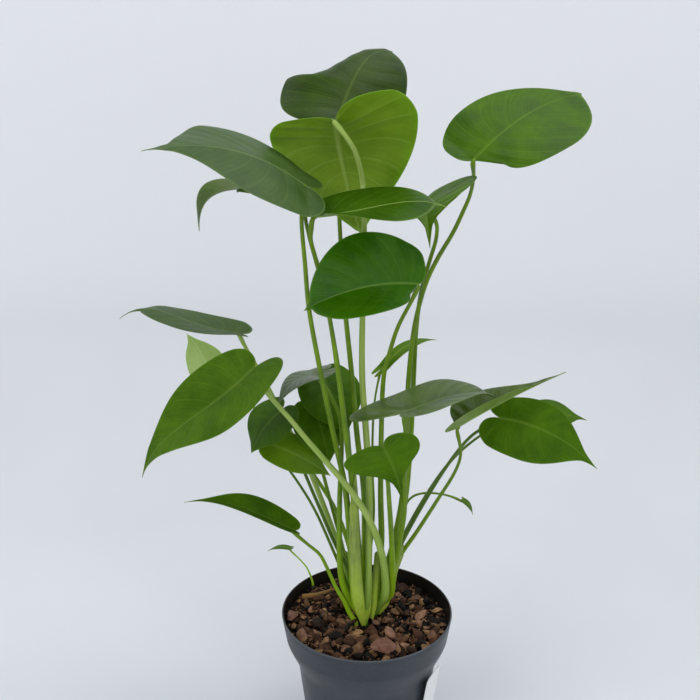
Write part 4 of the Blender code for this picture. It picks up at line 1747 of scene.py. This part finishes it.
@dataclass(frozen=True)
class Crown:
    """One seedling's base: the centres and radii of its foot and of its top."""

    name: str
    foot: tuple[float, float]
    top: tuple[float, float]
    foot_radius: float
    top_radius: float
    low: float = 98.5
    high: float = 120.0
    flare: float = 1.6
    lobes: int = 5
    lobe_depth: float = 0.13
    lobe_twist: float = 1.5
    wrinkle: float = 0.05
    foot_share: float = 0.6
    spread_share: float = 0.95
    rings: int = 26
    sides: int = 36

    def ends(self) -> tuple[np.ndarray, np.ndarray]:
        """The centres of its foot and of its top."""
        return np.array((*self.foot, self.low)), np.array((*self.top, self.high))

    def socket(self, start: np.ndarray) -> list[np.ndarray]:
        """Find where a stalk runs on down inside the crown.

        Args:
            start: Where the stalk starts above it.

        Returns:
            The way points inside, from the foot up.
        """
        foot, top = self.ends()
        aside = (start - top) * (1.0, 1.0, 0.0)
        return [foot + aside * 0.1, (foot * 0.5 + top * 0.5) + aside * 0.42]

    def build(self, finishes: Finishes) -> None:
        """Sweep the crown as a bundle of clasping sheath bases that spreads upward.

        Args:
            finishes: The materials.
        """
        foot, top = self.ends()
        shares = np.linspace(0, 1, self.rings)
        route = foot + np.outer(shares, top - foot)
        spread = self.top_radius - self.foot_radius
        radii = (self.foot_share * self.foot_radius
                 + self.spread_share * spread * shares**self.flare)
        radii *= np.sqrt(np.clip(1.02 - shares**5, 0.02, 1.0))

        def clasped(angles: np.ndarray, k: int) -> np.ndarray:
            """A section with the swellings of the sheaths that clasp it."""
            swelling = np.cos(self.lobes * angles + self.lobe_twist * shares[k] + self.foot[0])
            return 1 + self.lobe_depth * swelling + self.wrinkle * wrinkles(angles, k * 0.25)

        wish = np.broadcast_to((0.0, -1.0, 0.1), route.shape)
        base = swept(self.name + "_base", finishes.crown, route, radii, self.sides, wish, clasped)
        settle(base, "crown", self.name)


@dataclass(frozen=True)
class Sheath:
    """A thin sleeve that clasps the lower part of several stalks and ends in a slanting mouth."""

    name: str
    route: tuple[Triple, ...]
    radius: float
    mouth: float
    facing: float = 0.0
    wall: float = 0.7
    flat: float = 0.72
    taper: float = 0.22
    slant_from: float = 0.35
    steps: int = 8
    sides: int = 28

    def build(self, finishes: Finishes) -> None:
        """Sweep the sleeve's outer and inner face, joined at the mouth.

        Args:
            finishes: The materials.
        """
        route = smooth_route(self.route, self.steps)
        run = lengths(route)
        shares = run / run[-1]
        radii = self.radius * (1.0 - self.taper * shares) * np.clip(0.4 + 3.0 * shares, 0.0, 1.0)
        turn = math.radians(self.facing)
        wish = np.broadcast_to((math.cos(turn), math.sin(turn), 0.0), route.shape)
        tangent, front, side = carry_frames(route, wish)
        angles = around(self.sides)
        faces = []
        for inset in (0.0, self.wall):
            rings = []
            for k, centre in enumerate(route):
                slant = max(shares[k] - self.slant_from, 0.0) / (1.0 - self.slant_from)
                drop = self.mouth * slant * (0.5 + 0.5 * np.cos(angles))
                reach = radii[k] - inset
                rings.append(centre + np.outer(reach * np.cos(angles), front[k])
                             + np.outer(reach * self.flat * np.sin(angles), side[k])
                             - np.outer(drop, tangent[k]))
            faces.append(rings)
        shell = Shell("girth", "run")
        index = shell.gather(np.array(faces[0] + faces[1][::-1]), girth=girth(angles),
                             run=np.concatenate([run, run[::-1]])[:, None])
        loop = np.vstack([index, index[:1]])
        shell.cover(np.hstack([loop, loop[:, :1]]))
        settle(shell.piece(self.name, [finishes.sheath], sharp=60.0), "stalk")


CLUMP_CENTRE = (2.0, 10.0)

CROWNS = (
    Crown("crown_1", (-1.5, -5), (-5.6, -3.3), 3.8, 8.8),
    Crown("crown_2", (-3, 17), (-7, 24), 4.6, 9.0),
    Crown("crown_3", (5.5, 8), (13, 4.5), 3.6, 8.8),
    Crown("crown_4", (11, 20), (16, 22.5), 3.8, 7.6),
)

SHEATHS = (
    Sheath("sheath_1", ((-2.4, -6.5, 100), (-4.4, -10.5, 112), (-6.6, -12.8, 128), (-8, -13, 150),
        (-9.2, -12.6, 178), (-10, -12.4, 204), (-11.2, -12.6, 222)), 4.5, 30.0, facing=160.0),
    Sheath("sheath_2", ((8.5, 8, 100), (12, 6, 112), (16, 5.5, 130), (19.5, 5.5, 144),
        (22.5, 7, 158)), 4.8, 12.0, facing=160.0),
    Sheath("sheath_3", ((-3, 17, 100), (-6.5, 22.5, 112), (-9.5, 24.5, 128), (-13, 26, 142)), 5.2,
        12.0),
    Sheath("sheath_4", ((11, 20, 100), (15, 22, 111), (19, 23.5, 125), (24, 25, 139)), 4.2, 10.0,
        facing=170.0),
    Sheath("sheath_6", ((3.5, 0, 100), (5, 2, 115), (6.5, 3, 135), (7.5, 4, 155)), 4.0, 8.0,
        facing=90.0),
    Sheath("sheath_5", ((-1.2, -4.8, 100), (-0.2, -6.6, 115), (0.8, -6.8, 136), (1.4, -6.2, 156)),
        3.3, 14.0, facing=20.0),
)

SMALL = {"rows": 48, "columns": 14}
TINY = {"rows": 30, "columns": 8}

LEAVES = (
    Leaf("leaf_01", (-38, -20, 416), (-132, -34, 439), 76, Age.DULL, roll=-17, lobe=0.12,
        arch=0.12, fold=-9, belly=0.45, full=0.5, drip=0.14, oblique=0.2, neck=0.14, uneven=0.06),
    Leaf("leaf_02", (-21, 7, 451), (-5, 46, 371), 92, Age.FRESH, roll=-19, lobe=0.125, skew=0.07,
        sinus=0.72, arch=0.05, cup=-10, sweep=-0.045, belly=0.05, full=0.3, drip=0.03, uneven=0.1,
        quilt=0.7, neck=0.07),
    Leaf("leaf_03", (-20, 36, 449), (17, 100, 484), 91, Age.DEEP, roll=30, lobe=0.12, skew=-0.03,
        arch=0.15, bias=1.4, cup=-50, sweep=-0.02, belly=0.25, full=0.9, drip=0.05, uneven=-0.055,
        furl=150, wave=0.4, neck=0.07),
    Leaf("leaf_04", (64, 10, 426), (139, 60, 461), 68, Age.RIPE, roll=30, lobe=-0.02, skew=-0.1,
        sinus=0.5, arch=0.08, belly=0.36, full=0.65, drip=0.03, oblique=0.18, uneven=0.08,
        neck=0.07),
    Leaf("leaf_05", (-82, 20, 407), (-108, 15, 380), 27, Age.OLIVE, roll=-10, arch=0.26, fold=20,
        **SMALL),
    Leaf("leaf_06", (-35, -24, 398.3), (44, -42, 408), 60, Age.VEINED, roll=-2, lobe=-0.05,
        skew=-0.09, sinus=0.3, arch=0.06, bias=2.2, fold=22, twist=17, belly=0.5, full=0.8,
        oblique=0.08, uneven=-0.04, unfold=-34, wave=0.6, neck=0.07),
    Leaf("leaf_07", (35, 22, 397), (36, -28, 379), 67, Age.GREEN, roll=11, lobe=0.14, skew=-0.08,
        sinus=0.35, arch=0.1, fold=20, belly=0.05, full=0.0, drip=0.4, neck=0.1, uneven=-0.12),
    Leaf("leaf_08", (31, -10, 352), (-40, -35, 343), 65, Age.GLOSSY, roll=-37, lobe=-0.03,
        skew=0.14, sinus=0.5, arch=0.08, fold=24, belly=0.45, full=1.0, drip=0.06, oblique=-0.08,
        neck=0.1, uneven=0.06),
    Leaf("leaf_09", (-86, 30, 306), (-169, 40, 313), 39, Age.DULL, lobe=0.08, arch=0.115, bias=2.4,
        fold=15, belly=0.4, full=0.9, drip=0.18, neck=0.14, unfold=-31),
    Leaf("leaf_10", (-73, -20, 300), (-142, -50, 238), 57, Age.GREEN, roll=-20, lobe=0.115,
        skew=-0.055, arch=0.08, bias=2.2, fold=8, full=0.45, drip=0.16, oblique=-0.04, neck=0.2),
    Leaf("leaf_11", (-114, 80, 250), (-131, 84, 287), 42, Age.PALE, roll=-110, rows=40,
        columns=14),
    Leaf("leaf_12", (-34.5, 12, 283), (-59, 0, 266), 40, Age.OLIVE, roll=14, lobe=0.42, arch=0.22,
        rows=48, columns=16, quilt=1.5),
    Leaf("leaf_13", (-31, 38, 272), (-14, 18, 236), 52, Age.RIPE, lobe=0.15, arch=0.05, rows=48,
        columns=16),
    Leaf("leaf_14", (-58, 11, 258), (-78, -2, 232), 48, Age.RIPE, arch=0.1, **SMALL),
    Leaf("leaf_15", (-66, 6, 235), (-25, 0, 214), 30, Age.FRESH, roll=28, lobe=0.12, arch=0.05,
        **SMALL),
    Leaf("leaf_16", (-37, 28, 253), (-26, 8, 219), 40, Age.GREEN, lobe=0.15, arch=0.05, **SMALL),
    Leaf("leaf_17", (23, -20, 270), (86, 10, 267), 47, Age.OLIVE, roll=-4, lobe=0.3, skew=-0.2,
        arch=0.1, bias=1.4, fold=11, full=0.7, oblique=-0.12, quilt=1.5),
    Leaf("leaf_18", (59, 5, 247), (136, 30, 278), 37, Age.OLIVE, roll=-10, lobe=0.04, skew=0.06,
        arch=0.02, fold=38, belly=0.12, full=0.05, drip=0.2, neck=0.14, quilt=1.5),
    Leaf("leaf_19", (92, 30, 244), (158, 10, 214), 46, Age.RIPE, roll=50, lobe=0.13, arch=0.1,
        drip=0.15, uneven=0.15),
    Leaf("leaf_20", (120, 70, 227), (164, 75, 222), 28, Age.RIPE, roll=30, lobe=0.1, drip=0.15,
        **SMALL),
    Leaf("leaf_21", (9, -45, 256), (21, -58, 223), 52, Age.RIPE, roll=22, lobe=0.14, skew=-0.03,
        fold=14, cup=-12, belly=0.05, full=0.1, drip=0.42, uneven=0.14),
    Leaf("leaf_22", (-50, -10, 178), (-123, -15, 202), 24, Age.RIPE, roll=-15, lobe=0.05,
        arch=0.09, bias=1.4, fold=30, drip=0.15, rows=60, columns=14),
    Leaf("leaf_23", (-59, 70, 117), (-76, 75, 111), 7, Age.RIPE, arch=0.12, **TINY),
    Leaf("leaf_24", (70.5, 39, 174.5), (77.5, 39.5, 162.5), 7, Age.RIPE, roll=20, arch=0.12,
        **TINY),
    Leaf("leaf_25", (12, 65, 268), (52, 90, 280), 10, Age.GREEN, roll=20, arch=0.15, **TINY),
)

STALKS = (
    Stalk("leaf_01", ((-9, -8, 122), (-11, -7, 151), (-15, -8, 207), (-23.5, -9, 252),
        (-32, -11, 300), (-37.5, -15, 337), (-39.5, -19, 368), (-41, -23, 397))),
    Stalk("leaf_02", ((0, -7.5, 122), (1, -6, 159), (1, -5, 206), (-1, -3, 243), (-4, -1, 286),
        (-4, 2, 327), (-3, 6, 378), (-4, 4, 411), (-8, -1, 431), (-14, -2, 442)), 2.6, 1.5,
        tint=Tint.PALE),
    Stalk("leaf_03", ((-2, 20, 122), (-2, 18, 188), (-7, 19, 234), (-11, 22, 281), (-15, 28, 320),
        (-17, 37, 345), (-19, 46, 380), (-20, 47, 412), (-21, 43, 434))),
    Stalk("leaf_04", ((11, 11, 122), (17, 10.5, 146), (24, 9, 192), (26, 10, 237), (27, 13, 278),
        (30, 12, 316), (36, 9, 345), (44, 16, 361), (54.5, 26, 376), (61, 32, 388),
        (65.5, 32, 400), (66.5, 25, 413))),
    Stalk("leaf_05", ((-5.5, -3, 122), (-6, -6, 152), (-7.5, -6.5, 180), (-9.5, -6.5, 209),
        (-15, -11, 255), (-19.5, -11, 295), (-24, -8, 324), (-28.5, -6, 348), (-32.5, -7, 364),
        (-36.5, -3.5, 378), (-39, 0, 388), (-42, 4, 399), (-54, 10, 407), (-68, 16, 405)), 2.2,
        1.1, tint=Tint.DARK),
    Stalk("leaf_06", ((-4.5, -13, 122), (-7, -13.5, 151), (-9, -12.5, 180), (-10, -12, 209),
        (-15, -17, 255), (-19.5, -17, 295), (-24, -13, 326), (-28.5, -12, 350), (-32, -14, 366),
        (-35.5, -20.5, 382), (-35.5, -22.5, 389.5))),
    Stalk("leaf_07", ((13.5, 24, 122), (19, 24, 145), (27, 22, 185), (30, 22, 232), (31, 22, 273),
        (32, 21, 312), (35, 21, 340), (40, 21, 360), (43.5, 21, 374), (43, 21, 385))),
    Stalk("leaf_08", ((7.5, 5, 122), (10, 5, 160), (9, 4, 200), (9, 3, 246), (10, 1, 285),
        (14, -1, 305), (19, -4, 323), (27, -7, 341))),
    Stalk("leaf_09", ((-14, 20, 122), (-23, 20, 156), (-40, 28, 203), (-57, 33, 239),
        (-71, 35, 270), (-82, 34, 292)), tint=Tint.PALE),
    Stalk("leaf_10", ((13, -3, 122), (12.5, -4, 141), (8, -8.5, 166), (0, -13.5, 190),
        (-12, -18, 213), (-27, -22, 235), (-41, -24, 254), (-50, -25, 267), (-62, -25, 282),
        (-69, -23, 292)), 2.8, 1.5, tint=Tint.PALE),
    Stalk("leaf_11", ((-8, 31, 122), (-24, 43, 168), (-56, 58, 210), (-90, 74, 240)), 1.8, 1.0),
    Stalk("leaf_12", ((-14.5, -3, 122), (-19, -3, 146), (-19, -1, 198), (-17.5, 1, 236),
        (-19, 4, 256), (-24, 6, 268), (-29, 9, 276))),
    Stalk("leaf_13", ((-6, 24, 122), (-8, 28, 177), (-12, 33, 214), (-15, 39, 240),
        (-24, 42, 260)), 1.9, 1.1),
    Stalk("leaf_14", ((-4, 5, 122), (-20, 10, 150), (-34, 14, 184), (-46, 19, 214),
        (-55, 20, 242)), 1.7, 0.9, tint=Tint.DARK),
    Stalk("leaf_15", ((-12, 3, 122), (-24, 2, 156), (-36, 3, 186), (-48, 4, 208), (-60, 5, 226)),
        1.4, 0.8, tint=Tint.DARK),
    Stalk("leaf_16", ((-13, 26, 122), (-20, 25, 156), (-28, 26, 190), (-35, 28, 221),
        (-37, 29, 245)), 1.7, 1.0),
    Stalk("leaf_17", ((17.5, 6.5, 122), (21.5, 3.5, 154), (25, -4, 189), (24, -11, 224),
        (24, -17, 253), (23, -19, 264))),
    Stalk("leaf_18", ((16.5, 13, 122), (22, 13, 141), (35, 11, 165), (48, 9, 190), (59, 7, 212),
        (63, 6, 226), (62, 6, 236)), 1.9, 1.0),
    Stalk("leaf_19", ((17, 19, 122), (23, 22, 144), (38, 27, 174), (56, 30, 206), (72, 32, 228),
        (86, 32, 238)), 1.8, 1.0, tint=Tint.DARK),
    Stalk("leaf_20", ((19, 26, 122), (24, 31, 142), (40, 43, 170), (60, 52, 198), (84, 62, 216),
        (108, 69, 224)), 1.5, 0.8, tint=Tint.DARK),
    Stalk("leaf_21", ((17.5, 1, 122), (17.5, -5, 147), (16, -14, 177), (14, -24, 205),
        (12, -34, 230), (9, -42, 248))),
    Stalk("leaf_22", ((-9, -6.5, 103), (-12.5, -6.3, 110), (-16, -6, 119), (-22, -5, 130.5),
        (-28.5, -5, 147), (-33, -6, 157), (-41, -8, 166)), 1.8, 1.0),
    Stalk("leaf_23", ((-40, 38, 106.5), (-44, 45, 114), (-50, 56, 115), (-56, 66, 115)), 0.7, 0.5),
    Stalk("leaf_24", ((14.5, 30.5, 122), (20, 33, 150), (27.5, 34, 172), (33, 34.5, 180),
        (42, 35.5, 182.5), (53, 37, 181), (62, 38, 178)), 1.2, 0.7),
    Stalk("leaf_25", ((1, 27, 122), (5, 30, 167), (4, 40, 203), (5, 52, 240), (9, 62, 262)), 1.2,
        0.7),
)


def crown_of(stalk: Stalk) -> Crown | None:
    """Find the crown under a stalk's start, if it starts above one.

    Args:
        stalk: The stalk.

    Returns:
        The nearest crown, or None where the stalk leaves the mix by itself.
    """
    x, y, z = stalk.route[0]
    if z < CROWNS[0].high:
        return None
    return min(CROWNS, key=lambda crown: math.hypot(x - crown.top[0], y - crown.top[1]))


# --- Studio -----------------------------------------------------------------------------------


@dataclass(frozen=True)
class SweepFinish:
    """Matt pale paper, cloudy on the floor, plain on the wall, and clear from behind."""

    name: str = "plain_sweep"
    floor: Triple = (216, 219, 223)
    floor_light: Triple = (222, 225, 230)
    wall: Triple = (240, 242, 246)
    wall_from: float = 0.25
    cloud_scale: float = 2.2
    rough: float = 0.85
    shine: float = 0.1

    def make(self) -> bpy.types.Material:
        """Build the finish.

        Returns:
            Its material.
        """
        made, graph, shader = new_material(self.name)
        cloud = graph.noise(graph.place(), self.cloud_scale)
        floor = graph.blend(graph.spread(cloud, 0.3, 0.7), self.floor, self.floor_light)
        rise = graph.spread(graph.height(), 0.0, self.wall_from)
        graph.dress(
            shader,
            Base_Color=graph.blend(rise, floor, self.wall),
            Roughness=self.rough,
            Specular_IOR_Level=self.shine,
        )
        behind = graph.add("ShaderNodeNewGeometry").outputs["Backfacing"]
        clear = graph.add("ShaderNodeBsdfTransparent").outputs[0]
        face = graph.add("ShaderNodeMixShader", {0: behind, 1: shader.outputs[0], 2: clear})
        graph.feed(made.node_tree.nodes["Material Output"].inputs["Surface"], face.outputs[0])
        return made


@dataclass(frozen=True)
class Lamp:
    """One soft square light, in metres and watts."""

    name: str
    place: Triple
    aim: Triple
    side: float
    power: float

    def hang(self) -> None:
        """Add the light to the scene, facing its aim."""
        light = bpy.data.lights.new(self.name, "AREA")
        light.size = self.side
        light.energy = self.power
        lamp = bpy.data.objects.new(self.name, light)
        lamp.location = self.place
        way = Vector(self.aim) - Vector(self.place)
        lamp.rotation_euler = way.to_track_quat("-Z", "Y").to_euler()
        bpy.context.scene.collection.objects.link(lamp)


@dataclass
class Studio:
    """The pale sweep that the pot stands on, the soft lights and the camera, in metres."""

    camera_place: Triple = (-0.012, -0.643, 0.539)
    camera_pitch: float = 70.0
    lens: float = 54.26
    sensor: float = 36.0
    wall_at: float = 0.5
    wall_bend: float = 0.16
    bend_steps: int = 16
    reach: float = 3.0
    sky: tuple[float, float, float, float] = (0.94, 0.97, 1.0, 1.0)
    sky_strength: float = 0.4
    lamps: tuple[Lamp, ...] = (
        Lamp("key_light", (0.45, 0.35, 1.8), (0.0, 0.0, 0.3), 1.3, 20.5),
        Lamp("fill_light", (-1.2, -1.0, 1.1), (0.0, 0.0, 0.25), 1.3, 10.0),
        Lamp("front_light", (0.7, -1.5, 0.9), (0.0, 0.0, 0.2), 1.4, 6.0),
    )

    def sweep(self) -> None:
        """Lay a floor that curves up into a plain wall."""
        bend_at = self.wall_at - self.wall_bend
        outline = [(-self.reach, 0.0), (bend_at, 0.0)]
        for k in range(1, self.bend_steps + 1):
            angle = math.pi / 2 * k / self.bend_steps
            outline.append((bend_at + self.wall_bend * math.sin(angle),
                            self.wall_bend * (1 - math.cos(angle))))
        outline.append((self.wall_at, self.reach))
        rows = [[(x, y, z) for x in (-self.reach, self.reach)] for y, z in outline]
        shell = Shell()
        shell.cover(shell.gather(np.array(rows) / MM))
        shell.piece("sweep", [SweepFinish().make()], sharp=60.0)

    def build(self) -> None:
        """Set the stage, the lights, the world and the camera."""
        scene = bpy.context.scene
        scene.view_settings.view_transform = "Standard"
        self.sweep()
        for lamp in self.lamps:
            lamp.hang()
        world = bpy.data.worlds.new("studio")
        scene.world = world
        world.use_nodes = True
        sky = world.node_tree.nodes["Background"]
        sky.inputs["Color"].default_value = self.sky
        sky.inputs["Strength"].default_value = self.sky_strength
        lens = bpy.data.cameras.new("camera")
        lens.lens = self.lens
        lens.sensor_width = self.sensor
        camera = bpy.data.objects.new("camera", lens)
        camera.location = self.camera_place
        camera.rotation_euler = (math.radians(self.camera_pitch), 0.0, 0.0)
        scene.collection.objects.link(camera)
        scene.camera = camera


def main() -> None:
    """Build every piece and report it."""
    logging.basicConfig(level=logging.INFO, format="%(message)s")
    Studio().build()
    finishes = Finishes(Effects())
    pot = Pot()
    pot.build(finishes)
    clear = [(*crown.foot, crown.foot_radius) for crown in CROWNS]
    BarkMix(pot, clear=clear).build(finishes)
    BarkFlake("flake_1", "bark_chip_1", 10.0, 3).build(finishes)
    BarkFlake("flake_2", "bark_chip_2", 70.0, 5).build(finishes)
    DryRoot().build(finishes)
    CareLabel().build(finishes)
    for crown in CROWNS:
        crown.build(finishes)
    for sheath in SHEATHS:
        sheath.build(finishes)
    for leaf, stalk in zip(LEAVES, STALKS):
        leaf.build(finishes)
        stalk.build(leaf, crown_of(stalk), finishes)


if __name__ == "__main__":
    main()
